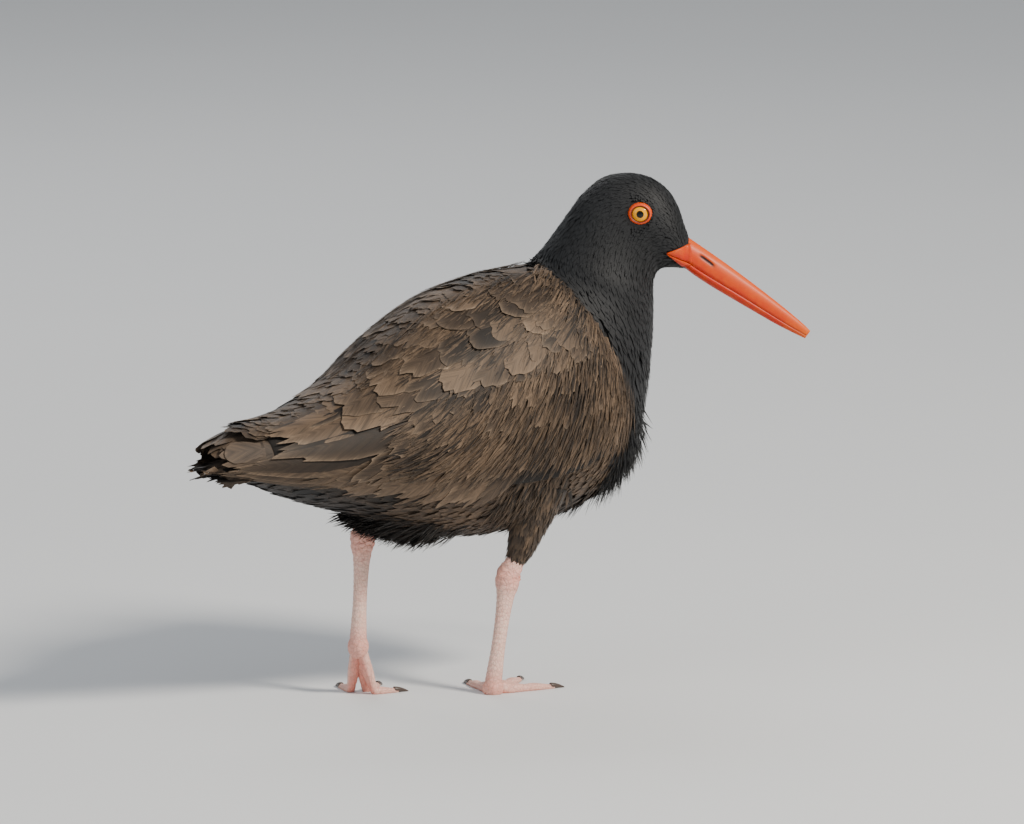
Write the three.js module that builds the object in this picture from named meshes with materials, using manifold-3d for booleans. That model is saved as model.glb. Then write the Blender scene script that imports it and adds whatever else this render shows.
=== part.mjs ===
// A life-size black oystercatcher, walking, with its head turned over its right side.
// Millimetres. +X is ahead of the body, +Y is the bird's left, +Z is up.
// The origin is the middle of the right foot's sole, on the floor.
import * as THREE from "three";
import { mergeVertices } from "three/addons/utils/BufferGeometryUtils.js";
import Module from "manifold-3d";

const wasm = await Module();
wasm.setup();

// Driving dimensions
const degree = Math.PI / 180;
const meetingGap = 0.3;
const sharpestLean = 0.25;
const headTurn = -38 * degree;
const neckPivotX = 78;
const rightSole = { x: 11.9, y: -18 };
const leftSole = { x: -41.5, y: 18, lift: 25 };
const tarsusLength = 52;
const eyeballRadius = 6.2;
const vaneThickness = 1;
const vaneCrown = 0.35;
const tipThinness = 0.6;

const plumageBrown = new THREE.MeshStandardMaterial({ color: 0x4b4038, roughness: 0.75, metalness: 0 });
const plumageBlack = new THREE.MeshStandardMaterial({ color: 0x26262a, roughness: 0.7, metalness: 0 });
const billRed = new THREE.MeshStandardMaterial({ color: 0xe2421a, roughness: 0.42, metalness: 0 });
const eyeYellow = new THREE.MeshStandardMaterial({ color: 0xe9a41c, roughness: 0.12, metalness: 0 });
const ringRed = new THREE.MeshStandardMaterial({ color: 0xd8431c, roughness: 0.5, metalness: 0 });
const legPink = new THREE.MeshStandardMaterial({ color: 0xe6b5a4, roughness: 0.6, metalness: 0 });
const clawHorn = new THREE.MeshStandardMaterial({ color: 0x4a3b36, roughness: 0.45, metalness: 0 });

// Smooth curves through short tables: each row is a station followed by the values there.
function readTable(rows, at) {
  let i = 0;
  while (i < rows.length - 2 && at > rows[i + 1][0]) i += 1;
  const [a, b] = [rows[i], rows[i + 1]];
  const before = rows[Math.max(i - 1, 0)];
  const after = rows[Math.min(i + 2, rows.length - 1)];
  const span = b[0] - a[0];
  const reach = (at - a[0]) / span;
  const f = THREE.MathUtils.clamp(reach, 0, 1);
  return a.slice(1).map((value, c) => {
    const slopeA = ((b[c + 1] - before[c + 1]) / (b[0] - before[0])) * span;
    const slopeB = ((after[c + 1] - value) / (after[0] - a[0])) * span;
    const beyond = (reach - f) * (f > 0 ? slopeB : slopeA);
    return (
      beyond +
      value * (1 + 2 * f) * (1 - f) ** 2 +
      slopeA * f * (1 - f) ** 2 +
      b[c + 1] * f * f * (3 - 2 * f) +
      slopeB * f * f * (f - 1)
    );
  });
}

// The body, neck and head are one tube of closed sections. Each row is a station, then the section's top
// (x, z), its bottom (x, z), its half width and how much of the head's turn it has.
const bodyRows = [
  [-88, -90, 141, -86, 99, 23, 0],
  [-62, -62, 153, -60, 91, 31, 0],
  [-40, -40, 169.5, -38, 82, 37, 0],
  [-10, -10, 186.5, -8, 76, 42, 0],
  [20, 20, 195, 22, 74.5, 44, 0],
  [47, 42, 198.5, 52, 78, 44, 0],
  [67, 50, 199, 82, 88, 43, 0.05],
  [80, 53, 200, 100, 104, 40, 0.2],
  [92, 55, 201.5, 109, 128, 36, 0.4],
  [104, 57, 203, 113, 155, 32, 0.65],
  [114, 59, 205, 114, 173, 28.5, 0.85],
  [124, 62, 209, 114, 184, 26, 1],
  [134, 66.5, 215, 114, 191, 23, 1],
  [144, 73.5, 225, 115.5, 195.5, 20, 1],
  [154, 80.5, 234, 118, 197.2, 18, 1],
  [164, 90.5, 241.5, 120.5, 197.7, 16.8, 1],
  [174, 102.5, 243.2, 123, 197.5, 16, 1],
  [184, 113.5, 240.5, 125.5, 197.2, 14.4, 1],
  [194, 121.5, 234, 127.5, 197, 12.2, 1],
  [204, 126, 226, 128.6, 196.8, 9.8, 1],
  [212, 128.4, 218.5, 129, 196.6, 7.9, 1],
  [220, 130.8, 211.9, 129.2, 196.8, 6.6, 1],
];
const sectionFullness = 0.94;
const torsoEnd = 104;
const neckEnd = 140;

// The folded wings lie on a second tube, a little outside the body and drawn out to the wing tips.
const wingRows = [
  [-160, -160, 134.5, -160, 113, 8, 0],
  [-150, -150, 137, -150, 111.5, 13, 0],
  [-130, -130, 140.5, -130, 108.5, 19, 0],
  [-110, -110, 142, -110, 104.5, 25, 0],
  [-88, -90, 146.5, -88, 99.5, 31, 0],
  [-62, -62, 158.5, -60, 93, 37.5, 0],
  [-40, -40, 175, -38, 84, 42.5, 0],
  [-10, -10, 191, -8, 77, 47, 0],
  [20, 20, 198.5, 22, 75, 49, 0],
  [47, 42, 200.5, 52, 78, 48.5, 0],
  [67, 50, 201.5, 82, 88, 46, 0.05],
  [80, 53, 201.5, 100, 104, 41.5, 0.2],
  [92, 55, 202.5, 109, 128, 36.8, 0.4],
];

// A point of such a tube: theta is 0 at the top, half a turn at the bottom, positive to the bird's left.
function tubePoint(rows, station, theta) {
  const [topX, topZ, lowX, lowZ, halfWidth, turn] = readTable(rows, station);
  const share = (1 + Math.cos(theta)) / 2;
  const ahead = lowX + (topX - lowX) * share - neckPivotX;
  const aside = halfWidth * Math.sign(Math.sin(theta)) * Math.abs(Math.sin(theta)) ** sectionFullness;
  const angle = turn * headTurn;
  return new THREE.Vector3(
    neckPivotX + ahead * Math.cos(angle) - aside * Math.sin(angle),
    ahead * Math.sin(angle) + aside * Math.cos(angle),
    lowZ + (topZ - lowZ) * share,
  );
}

// The same point moved out along the tube's normal.
function liftedPoint(rows, station, theta, lift) {
  const step = 0.04;
  const along = tubePoint(rows, station + 1, theta).sub(tubePoint(rows, station - 1, theta));
  const round = tubePoint(rows, station, theta + step).sub(tubePoint(rows, station, theta - step));
  return tubePoint(rows, station, theta).addScaledVector(along.cross(round).normalize(), lift);
}

// A place given in the head's own upright plane: ahead of and to the left of the neck's pivot line.
function headPlace(x, y, z) {
  const ahead = x - neckPivotX;
  return new THREE.Vector3(
    neckPivotX + ahead * Math.cos(headTurn) - y * Math.sin(headTurn),
    ahead * Math.sin(headTurn) + y * Math.cos(headTurn),
    z,
  );
}

// Solids
function solidFrom(points, faces) {
  const geometry = new THREE.BufferGeometry()
    .setAttribute("position", new THREE.Float32BufferAttribute(points.flatMap((p) => [p.x, p.y, p.z]), 3))
    .setIndex(faces.flat());
  return solidOf(geometry);
}

function solidOf(geometry) {
  const bare = geometry.clone();
  bare.deleteAttribute("normal");
  bare.deleteAttribute("uv");
  const merged = mergeVertices(bare, 1e-4);
  const corners = new Uint32Array(merged.index.array);
  const make = () =>
    new wasm.Manifold(
      new wasm.Mesh({ numProp: 3, vertProperties: merged.attributes.position.array, triVerts: corners }),
    );
  const first = make();
  if (first.volume() > 0) return first;
  for (let i = 0; i < corners.length; i += 3) [corners[i], corners[i + 1]] = [corners[i + 1], corners[i]];
  return make();
}

function geometryOf(solid) {
  const mesh = solid.getMesh();
  const places = new Float32Array(mesh.numVert * 3);
  for (let i = 0; i < mesh.numVert; i += 1) {
    places.set(mesh.vertProperties.subarray(i * mesh.numProp, i * mesh.numProp + 3), i * 3);
  }
  return new THREE.BufferGeometry()
    .setAttribute("position", new THREE.BufferAttribute(places, 3))
    .setIndex(new THREE.BufferAttribute(mesh.triVerts, 1));
}

// Closes a stack of rings. A ring's points run round from its top, so point i and point n - i face each
// other, and each end is closed by strips between them.
function loft(rings) {
  const n = rings[0].length;
  const faces = [];
  for (let r = 0; r < rings.length - 1; r += 1) {
    for (let i = 0; i < n; i += 1) {
      const [a, b] = [r * n + i, r * n + ((i + 1) % n)];
      faces.push([a, b, b + n], [a, b + n, a + n]);
    }
  }
  const close = (start, flip) => {
    for (let i = 0; i < Math.floor(n / 2); i += 1) {
      const [a, b, c, d] = [i, i + 1, n - i - 1, (n - i) % n].map((j) => start + j);
      if (b !== c) faces.push(flip ? [a, c, b] : [a, b, c]);
      if (a !== d) faces.push(flip ? [a, d, c] : [a, c, d]);
    }
  };
  close(0, true);
  close((rings.length - 1) * n, false);
  return solidFrom(rings.flat(), faces);
}

// Closes a curved sheet: the outer grid and the inner grid are split into triangles alike.
function slab(outer, inner) {
  const [rows, columns] = [outer.length, outer[0].length];
  const size = rows * columns;
  const at = (r, c) => r * columns + c;
  const faces = [];
  for (let r = 0; r < rows - 1; r += 1) {
    for (let c = 0; c < columns - 1; c += 1) {
      const [p, q, s, t] = [at(r, c), at(r, c + 1), at(r + 1, c + 1), at(r + 1, c)];
      faces.push([p, q, s], [p, s, t], [p + size, s + size, q + size], [p + size, t + size, s + size]);
    }
  }
  const rim = [];
  for (let c = 0; c < columns - 1; c += 1) rim.push(at(0, c));
  for (let r = 0; r < rows - 1; r += 1) rim.push(at(r, columns - 1));
  for (let c = columns - 1; c > 0; c -= 1) rim.push(at(rows - 1, c));
  for (let r = rows - 1; r > 0; r -= 1) rim.push(at(r, 0));
  rim.forEach((p, i) => {
    const q = rim[(i + 1) % rim.length];
    faces.push([p, p + size, q + size], [p, q + size, q]);
  });
  return solidFrom([...outer.flat(), ...inner.flat()], faces);
}

const joined = (solids) => solids.reduce((all, one) => all.add(one));

// A solid grown outwards by the gap that touching pieces keep. Each corner moves along its mean normal, and
// further where it is sharp, so that every face ends the gap away.
function grown(solid, gap = meetingGap) {
  const geometry = geometryOf(solid);
  geometry.computeVertexNormals();
  const { position, normal } = geometry.attributes;
  const place = (i) => new THREE.Vector3().fromBufferAttribute(position, i);
  const lean = (i) => new THREE.Vector3().fromBufferAttribute(normal, i);
  const means = Array.from({ length: normal.count }, (_, i) => lean(i));
  const leanest = new Float32Array(position.count).fill(1);
  const corners = geometry.index.array;
  for (let i = 0; i < corners.length; i += 3) {
    const [a, b, c] = [corners[i], corners[i + 1], corners[i + 2]];
    const facing = place(b).sub(place(a)).cross(place(c).sub(place(a))).normalize();
    if (facing.lengthSq() === 0) continue;
    for (const j of [a, b, c]) {
      leanest[j] = Math.min(leanest[j], Math.max(sharpestLean, facing.dot(means[j])));
    }
  }
  const moved = means.map((mean, i) => place(i).addScaledVector(mean, gap / leanest[i]));
  moved.forEach((p, i) => position.setXYZ(i, p.x, p.y, p.z));
  return solidOf(geometry);
}

function largestPiece(solid) {
  return solid.decompose().reduce((best, piece) => (piece.volume() > best.volume() ? piece : best));
}

function ellipseRing(centre, sideAxis, upAxis, halfWidth, halfHeight, count) {
  return Array.from({ length: count }, (_, i) => {
    const angle = (i / count) * 2 * Math.PI;
    return centre
      .clone()
      .addScaledVector(upAxis, halfHeight * Math.cos(angle))
      .addScaledVector(sideAxis, halfWidth * Math.sin(angle));
  });
}

// A limb: rings square to its path, each row being a place, a half width and a half depth.
function limb(rows, sideAxis, count) {
  const places = rows.map(([place]) => place);
  return rows.map(([place, halfWidth, halfDepth], i) => {
    const [before, after] = [places[Math.max(i - 1, 0)], places[Math.min(i + 1, places.length - 1)]];
    const path = after.clone().sub(before).normalize();
    const side = sideAxis.clone().addScaledVector(path, -sideAxis.dot(path)).normalize();
    return ellipseRing(place, side, side.clone().cross(path), halfWidth, halfDepth, count);
  });
}

// Torso, neck and head, parted square across by the gap
const ringCount = 24;

function tubeRing(rows, station, count) {
  return Array.from({ length: count }, (_, i) => tubePoint(rows, station, (i / count) * 2 * Math.PI));
}

function stationsBetween(from, to, step) {
  const count = Math.max(1, Math.round((to - from) / step));
  return Array.from({ length: count + 1 }, (_, i) => from + ((to - from) * i) / count);
}

function bodyLength(from, to, step) {
  const rings = stationsBetween(from, to, step).map((station) => tubeRing(bodyRows, station, ringCount));
  if (from === bodyRows[0][0]) return loft(rings);
  const first = rings[0];
  const [quarter, half] = [ringCount / 4, ringCount / 2].map((i) => first[i].clone().sub(first[0]));
  const acrossCut = quarter.cross(half);
  const ahead = rings[1][ringCount / 4].clone().sub(first[ringCount / 4]);
  acrossCut.normalize().multiplyScalar(Math.sign(acrossCut.dot(ahead)) * meetingGap);
  rings[0] = first.map((p) => p.clone().add(acrossCut));
  return loft(rings);
}

const torso = bodyLength(bodyRows[0][0], torsoEnd, 12);
const neck = bodyLength(torsoEnd, neckEnd, 7);
const wholeHead = bodyLength(neckEnd, bodyRows.at(-1)[0], 6.5);

// Bill: each row is a place along it, then the culmen (x, z), the lower edge (x, z), the mouth's share of the
// depth counted from below, and the half width, all in the head's plane.
const billRows = [
  [0, 131, 211.6, 129, 197.1, 0.28, 6],
  [1, 138.5, 206.4, 133.5, 193.6, 0.28, 5.5],
  [2, 148, 199.7, 141.5, 188.3, 0.3, 4.8],
  [3, 158, 192.3, 151.5, 182.3, 0.32, 4.1],
  [4, 168, 184.6, 161.5, 176.4, 0.33, 3.4],
  [5, 178, 176.6, 172, 170.3, 0.34, 2.7],
  [6, 185.5, 170.1, 180.5, 165.9, 0.35, 2],
  [7, 188.9, 166.7, 186.3, 163.1, 0.38, 1.4],
];
const gape = { x: 119.8, z: 205.9 };

// Half of a bill section: round outside, flat along the mouth.
function mandibleRing(station, upper) {
  const [topX, topZ, lowX, lowZ, mouth, halfWidth] = readTable(billRows, station);
  const depth = Math.hypot(topX - lowX, topZ - lowZ);
  const mouthShare = mouth + ((upper ? 0.5 : -0.5) * meetingGap) / depth;
  const sides = 5;
  const arc = Array.from({ length: sides + 1 }, (_, i) => {
    const fromRidge = (1 - mouthShare) * Math.sin((i / sides) * (Math.PI / 2)) ** 1.5;
    const share = upper ? 1 - fromRidge : mouthShare * (i / sides);
    const offCentre = (share - mouth) / (share > mouth ? 1 - mouth : mouth);
    const aside = halfWidth * Math.sqrt(Math.max(0, 1 - Math.abs(offCentre) ** 2.2));
    return { share, aside: i === (upper ? 0 : -1) ? 0 : aside };
  });
  const order = upper ? arc : [...arc].reverse().map((p, i) => (i === sides ? { ...p, aside: 0 } : p));
  const place = ({ share, aside }, side) =>
    headPlace(lowX + (topX - lowX) * share, side * aside, lowZ + (topZ - lowZ) * share);
  const left = order.map((p) => place(p, 1));
  const right = order.slice(upper ? 1 : 0, upper ? undefined : -1).map((p) => place(p, -1));
  return [...left, ...right.reverse()];
}

function mandible(upper) {
  return stationsBetween(0, 7, 0.9).map((station) => mandibleRing(station, upper));
}

// An upright-plane outline carried right through the head from side to side.
function headBlock(outline, halfWidth) {
  const corners = (side) => outline.map(([x, z]) => headPlace(x, side * halfWidth, z));
  const [left, right] = [corners(1), corners(-1)];
  const n = outline.length;
  const faces = [];
  for (let i = 0; i < n; i += 1) {
    const j = (i + 1) % n;
    faces.push([i, j, j + n], [i, j + n, i + n]);
    if (i > 0 && i < n - 1) faces.push([0, i + 1, i], [n, n + i, n + i + 1]);
  }
  return solidFrom([...left, ...right], faces);
}

const [rootTopX, rootTopZ, rootLowX, rootLowZ, rootMouth] = readTable(billRows, 0);
const mouthRoot = {
  x: rootLowX + (rootTopX - rootLowX) * rootMouth,
  z: rootLowZ + (rootTopZ - rootLowZ) * rootMouth,
};
const gapeDepth = 22;
const halfMouth = meetingGap / 2;
const upperGape = headBlock(
  [
    [gape.x, gape.z + halfMouth],
    [mouthRoot.x + 1.5, mouthRoot.z - 1 + halfMouth],
    [rootTopX + 0.5, rootTopZ - 1.6],
  ],
  gapeDepth,
);
const lowerGape = headBlock(
  [
    [gape.x, gape.z - halfMouth],
    [rootLowX - 3.2, rootLowZ + 3],
    [rootLowX + 1.2, rootLowZ + 1],
    [mouthRoot.x + 1.5, mouthRoot.z - 1 - halfMouth],
  ],
  gapeDepth,
);
const gapeCut = headBlock(
  [
    [gape.x - 1.2, gape.z + 0.1],
    [rootLowX - 3.5, rootLowZ + 2.65],
    [rootLowX + 1.2, rootLowZ + 0.5],
    [rootTopX + 1.5, rootLowZ + 3],
    [rootTopX + 0.5, rootTopZ - 1.15],
  ],
  gapeDepth + 1,
);
const cheeks = grown(wholeHead, 0.15);
const nostrilCut = (side) => {
  const [from, to] = [headPlace(136.4, side * 4.8, 203.6), headPlace(142.3, side * 4.5, 199)];
  const across = headPlace(neckPivotX, side, 0).sub(headPlace(neckPivotX, 0, 0));
  const middle = from.clone().add(to).multiplyScalar(0.5);
  return loft(limb([[from, 1.1, 0.25], [middle, 1.4, 0.55], [to, 1.1, 0.25]], across, 8));
};
const billUpper = [1, -1].reduce(
  (bill, side) => bill.subtract(nostrilCut(side)),
  joined([loft(mandible(true)), upperGape.intersect(cheeks)]),
);
const billLower = joined([loft(mandible(false)), lowerGape.intersect(cheeks)]);

// Eyes: a ball low in its socket, with a raised lid ring round it
const eyePlace = { x: 107.2, z: 225.4, out: 10.2 };
const lid = { inner: 4.1, outer: 6.1, height: 1.3 };

function eyeCentre(side) {
  return headPlace(eyePlace.x, side * eyePlace.out, eyePlace.z);
}

function turnedLathe(profile, side, sides) {
  const geometry = new THREE.LatheGeometry(profile.map(([r, h]) => new THREE.Vector2(r, h)), sides);
  const out = headPlace(neckPivotX, side, 0).sub(headPlace(neckPivotX, 0, 0));
  geometry.applyQuaternion(new THREE.Quaternion().setFromUnitVectors(new THREE.Vector3(0, 1, 0), out));
  const centre = eyeCentre(side);
  return solidOf(geometry.translate(centre.x, centre.y, centre.z));
}

function eyeball(side) {
  const profile = Array.from({ length: 8 }, (_, i) => {
    const angle = -Math.PI / 2 + (i / 7) * Math.PI;
    return [i % 7 === 0 ? 0 : eyeballRadius * Math.cos(angle), eyeballRadius * Math.sin(angle)];
  });
  return turnedLathe(profile, side, 16);
}

function lidRing(side) {
  const seat = Math.sqrt((eyeballRadius + meetingGap) ** 2 - lid.inner ** 2);
  const profile = [
    [lid.inner, seat + 0.1],
    [lid.outer, 3],
    [lid.outer, seat + 0.1],
    [(lid.inner + lid.outer) / 2, seat + lid.height],
    [lid.inner + 0.2, seat + 0.9],
    [lid.inner, seat + 0.1],
  ];
  return turnedLathe(profile, side, 16).subtract(grown(eyeball(side)));
}

function socket(side) {
  const wide = lid.outer + meetingGap;
  return turnedLathe([[0, 3 - meetingGap], [wide, 3 - meetingGap], [wide, 9], [0, 9]], side, 16).add(
    grown(eyeball(side)),
  );
}

const head = largestPiece(
  [1, -1]
    .reduce((solid, side) => solid.subtract(socket(side)), wholeHead)
    .subtract(joined([gapeCut, grown(loft(mandible(true))), grown(loft(mandible(false)))])),
);

// Feathers: a vane lies on a tube from its root. A heading of 0 runs straight back and 90 straight down the
// side. Its two faces are split alike, and its root is sunk into what carries it.
const rounded = [
  [0, 0.7],
  [0.5, 1],
  [0.82, 0.8],
  [1, 0.2],
];
const pointed = [
  [0, 0.7],
  [0.45, 0.95],
  [0.8, 0.6],
  [1, 0.08],
];

function vane(rows, side, shape) {
  const { station, theta, length, heading, width, rootLift, tipLift, tilt = 0, outline = rounded } = shape;
  const middle = theta * degree * side;
  const at = (ahead, round) => tubePoint(rows, station + ahead, middle + round);
  const alongScale = at(1, 0).distanceTo(at(-1, 0)) / 2;
  const roundScale = at(0, 0.05).distanceTo(at(0, -0.05)) / 0.1;
  const turned = heading * degree;
  const faces = outline.map(([share, spread]) => {
    const [back, down] = [share * length * Math.cos(turned), share * length * Math.sin(turned)];
    const lift = rootLift + (tipLift - rootLift) * share;
    return [-1, 0, 1].map((across) => {
      const aside = (across * spread * width) / 2;
      const along = station - (back - aside * Math.sin(turned)) / alongScale;
      const round = middle + (side * (down + aside * Math.cos(turned))) / roundScale;
      const raised = lift + tilt * aside + (across === 0 ? vaneCrown : 0);
      const thin = vaneThickness * (share === 1 ? tipThinness : 1);
      return [liftedPoint(rows, along, round, raised), liftedPoint(rows, along, round, raised - thin)];
    });
  });
  return slab(
    faces.map((row) => row.map(([outer]) => outer)),
    faces.map((row) => row.map(([, inner]) => inner)),
  );
}

// A row of feathers spread evenly between its first and its last, each given as a list of these measures
const vaneMeasures = ["station", "theta", "length", "heading", "width", "rootLift", "tipLift", "tilt"];

function tier(count, first, last, outline = rounded) {
  return Array.from({ length: count }, (_, i) => {
    const share = i / (count - 1);
    const between = vaneMeasures.map((key, c) => [key, THREE.MathUtils.lerp(first[c], last[c], share)]);
    return { ...Object.fromEntries(between), outline };
  });
}

const wingTiers = [
  // Primaries, the outermost lowest
  tier(4, [-58, 92, 88, 3, 14, -1.4, -0.6, 0], [-68, 116, 82, -1, 13, -2.4, -2.2, 0], pointed),
  // Secondaries, out below the great coverts
  tier(4, [-2, 101, 44, 50, 18, -1.6, -0.6, 0], [-52, 94, 58, 20, 17, -1.4, 0.2, 0]),
  // Tertials, long and pointed over the closed wing
  tier(4, [-36, 76, 94, 2, 21, -1, 0.6, 0], [-52, 22, 70, 1, 22, -1, 1, 0], pointed),
  // Great coverts, hanging at the front and laid back behind
  tier(7, [74, 86, 30, 84, 17, -1.4, 1.2, 0.06], [-40, 86, 40, 30, 19, -1.2, 1.2, 0.06]),
  // Middle coverts
  tier(6, [72, 70, 22, 72, 16, -1.2, 1.9, 0.06], [-28, 72, 30, 28, 18, -1.2, 1.8, 0.06]),
  // Lesser coverts
  tier(4, [68, 56, 20, 60, 16, -1, 2.2, 0.06], [2, 58, 27, 30, 18, -1, 2.2, 0.06]),
  // Scapulars in two rows, over the shoulder and the tertials' roots
  tier(5, [48, 41, 32, 24, 20, -1, 2.8, 0.04], [-30, 48, 42, 14, 20, -1, 2.2, 0.04]),
  tier(4, [34, 25, 36, 14, 20, -1, 2.4, 0.03], [-46, 19, 46, 6, 20, -1, 1.6, 0.03]),
];

// The closed hand, arm and shoulder under the feathers: rows of station, upper edge and lower edge (degrees),
// then thickness.
const wingCoreRows = [
  [-116, 7, 108, 2],
  [-88, 4, 116, 3.2],
  [-60, 4, 119, 5],
  [-30, 5, 120, 7],
  [0, 9, 122, 8],
  [30, 17, 122, 8],
  [60, 32, 120, 8],
  [80, 56, 110, 6],
];

function wingCore(side) {
  const across = 5;
  const grid = (inner) =>
    stationsBetween(-116, 80, 24).map((station) => {
      const [top, low, thickness] = readTable(wingCoreRows, station);
      return Array.from({ length: across }, (_, i) => {
        const share = i / (across - 1);
        const edge = 1 - Math.abs(2 * share - 1) ** 4;
        const theta = (top + (low - top) * share) * degree * side;
        return liftedPoint(wingRows, station, theta, inner ? -thickness : -1.2 + 1.2 * edge);
      });
    });
  return slab(grid(false), grid(true));
}

// Tail: a core that carries on from the torso under the coverts, twelve tail feathers and their coverts
const tailCoreRows = [
  [-138, -138, 123, -138, 118.5, 11, 0],
  [-128, -128, 126, -128, 115, 14, 0],
  [-115, -116, 130, -115, 110.5, 17, 0],
  [-101, -102, 134, -100, 104, 20.5, 0],
  [-88, -90, 141, -86, 99, 23, 0],
];
const tailPlan = { count: 12, length: 53, rootX: -97, rootZ: 125.5, tipZ: 117.5, width: 13, thickness: 0.8 };
const tailFan = { rootSpread: 3, tipSpread: 10, angle: 6.5, outerDroop: 2.4, outerDrop: 1.2, roll: 0.09 };

function tailVane(i) {
  const offCentre = (2 * i) / (tailPlan.count - 1) - 1;
  const outer = Math.abs(offCentre);
  const heading = offCentre * tailFan.angle * degree;
  const rows = rounded.map(([share, spread]) => {
    const x = tailPlan.rootX - tailPlan.length * (share - 0.02 * outer) * Math.cos(heading);
    const middleY = offCentre * (tailFan.rootSpread + tailFan.tipSpread * share);
    const droop = outer * tailFan.outerDrop + outer * outer * tailFan.outerDroop * share;
    const z = THREE.MathUtils.lerp(tailPlan.rootZ, tailPlan.tipZ, share) - droop;
    return [-1, 0, 1].map((across) => {
      const aside = (across * spread * tailPlan.width) / 2;
      const lift = (across === 0 ? vaneCrown : 0) - tailFan.roll * Math.sign(offCentre) * aside;
      const top = new THREE.Vector3(x, middleY + aside, z + lift);
      return [top, top.clone().setZ(top.z - tailPlan.thickness)];
    });
  });
  return slab(
    rows.map((row) => row.map(([top]) => top)),
    rows.map((row) => row.map(([, low]) => low)),
  );
}

function tailCore() {
  const rings = stationsBetween(-138, -88, 12).map((station) => tubeRing(tailCoreRows, station, 16));
  rings[rings.length - 1] = rings.at(-1).map((p) => p.clone().add(new THREE.Vector3(-meetingGap, 0, 0)));
  return loft(rings);
}

const bodyCoverts = [
  tier(4, [-100, 46, 26, -4, 14, -0.5, 1.4, 0], [-100, -46, 26, 4, 14, -0.5, 1.4, 0]),
  tier(3, [-109, 46, 26, -4, 14, -0.5, 1, 0], [-109, -46, 26, 4, 14, -0.5, 1, 0]),
  tier(4, [-98, 140, 24, 4, 14, -0.5, 1.2, 0], [-98, 220, 24, -4, 14, -0.5, 1.2, 0]),
];
const tail = largestPiece(
  joined([
    tailCore(),
    ...Array.from({ length: tailPlan.count }, (_, i) => tailVane(i)),
    ...bodyCoverts.flat().map((shape) => vane(tailCoreRows, 1, shape)),
  ]),
).subtract(grown(torso));

// Legs. Each has a feathered thigh, a bare leg with its knob at the heel joint, a foot of three toes, and
// claws. The right foot is set flat, and the left one pushes off, its ball raised and its toes still down.
const legs = {
  right: {
    side: -1,
    ball: new THREE.Vector3(rightSole.x, rightSole.y, 3.8),
    heel: new THREE.Vector3(rightSole.x + 9.5, rightSole.y, 56.5),
    shinTop: new THREE.Vector3(28.5, -21.5, 73),
    thighTop: new THREE.Vector3(36, -24, 100),
    thighRadii: [5.4, 6.8, 11.5, 15],
    thighFrom: 0.16,
    raised: false,
  },
  left: {
    side: 1,
    ball: new THREE.Vector3(leftSole.x, leftSole.y, leftSole.lift),
    heel: new THREE.Vector3(leftSole.x + 3, leftSole.y, leftSole.lift + tarsusLength),
    shinTop: new THREE.Vector3(-35, 20, 92),
    thighTop: new THREE.Vector3(-26, 22, 108),
    thighRadii: [6.4, 8.5, 11.5, 12.5],
    thighFrom: 0.2,
    raised: true,
  },
};
const sideways = new THREE.Vector3(0, 1, 0);

function bareLeg({ ball, heel, shinTop }) {
  const down = (share) => heel.clone().lerp(ball, share);
  const rings = limb(
    [
      [shinTop, 3.5, 4],
      [shinTop.clone().lerp(heel, 0.55), 3.7, 4.4],
      [shinTop.clone().lerp(heel, 0.85), 4.9, 5.8],
      [down(0), 5.3, 6.4],
      [down(0.09), 5, 6.1],
      [down(0.19), 3.9, 4.7],
      [down(0.4), 3.2, 3.8],
      [down(0.66), 3.2, 3.6],
      [down(0.85), 3.7, 4],
      [down(0.97), 4.3, 4.4],
    ],
    sideways,
    12,
  );
  return loft(rings);
}

function thigh({ heel, shinTop, thighTop, thighRadii, thighFrom }) {
  const start = heel.clone().lerp(shinTop, thighFrom + 0.4);
  const places = [start, start.clone().lerp(shinTop, 0.6), shinTop.clone().lerp(thighTop, 0.55), thighTop];
  return loft(limb(places.map((place, i) => [place, thighRadii[i] * 0.9, thighRadii[i]]), sideways, 14));
}

// Toes: a turn in degrees from the foot's heading, towards the body's middle; pads swell between the joints.
// A toe that lies on the floor has its middle a share of its half depth up, so that its sole is pressed flat.
const toePlan = [
  { name: "inner", turn: 44, length: 29, radius: 3 },
  { name: "middle", turn: 0, length: 38, radius: 3.2 },
  { name: "outer", turn: -42, length: 33, radius: 3 },
];
const footHeading = 32;
const toePads = [1.25, 1.02, 1.12, 0.86, 1, 0.78, 0.55];
const toeSwell = toePads.map((swell, i) => [i / (toePads.length - 1), swell]);
const toeTaper = 0.3;
const toeDepth = 0.92;
const toeRest = 0.62;
const toeBend = { flatFrom: 0.58, reach: 0.52, ease: 0.35 };
const flatToeDrop = 4;
const webs = [{ reach: 0.16 }, { reach: 0.34 }];
const webThickness = 1.6;
const floorClearance = 0.15;

function toeAxes(leg, toe) {
  const turned = (footHeading - leg.side * toe.turn) * degree;
  return {
    ahead: new THREE.Vector3(Math.cos(turned), Math.sin(turned), 0),
    across: new THREE.Vector3(-Math.sin(turned), Math.cos(turned), 0),
  };
}

const toeRadius = (toe, share) => toe.radius * readTable(toeSwell, share)[0] * (1 - toeTaper * share);

function toePlace(leg, toe, share) {
  const rest = toeRadius(toe, share) * toeDepth * toeRest;
  const drop = Math.min(1, leg.raised ? share / toeBend.flatFrom : share * flatToeDrop);
  const eased = THREE.MathUtils.lerp(drop, drop * drop * (3 - 2 * drop), leg.raised ? toeBend.ease : 0);
  const shortened = leg.raised ? (1 - toeBend.reach) * Math.min(share, toeBend.flatFrom) : 0;
  const place = leg.ball.clone().setZ(THREE.MathUtils.lerp(leg.ball.z, rest, eased));
  return place.addScaledVector(toeAxes(leg, toe).ahead, (share - shortened) * toe.length);
}

function onFloor(rings) {
  return rings.map((ring) => ring.map((p) => (p.z < 0 ? p.clone().setZ(0) : p)));
}

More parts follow.
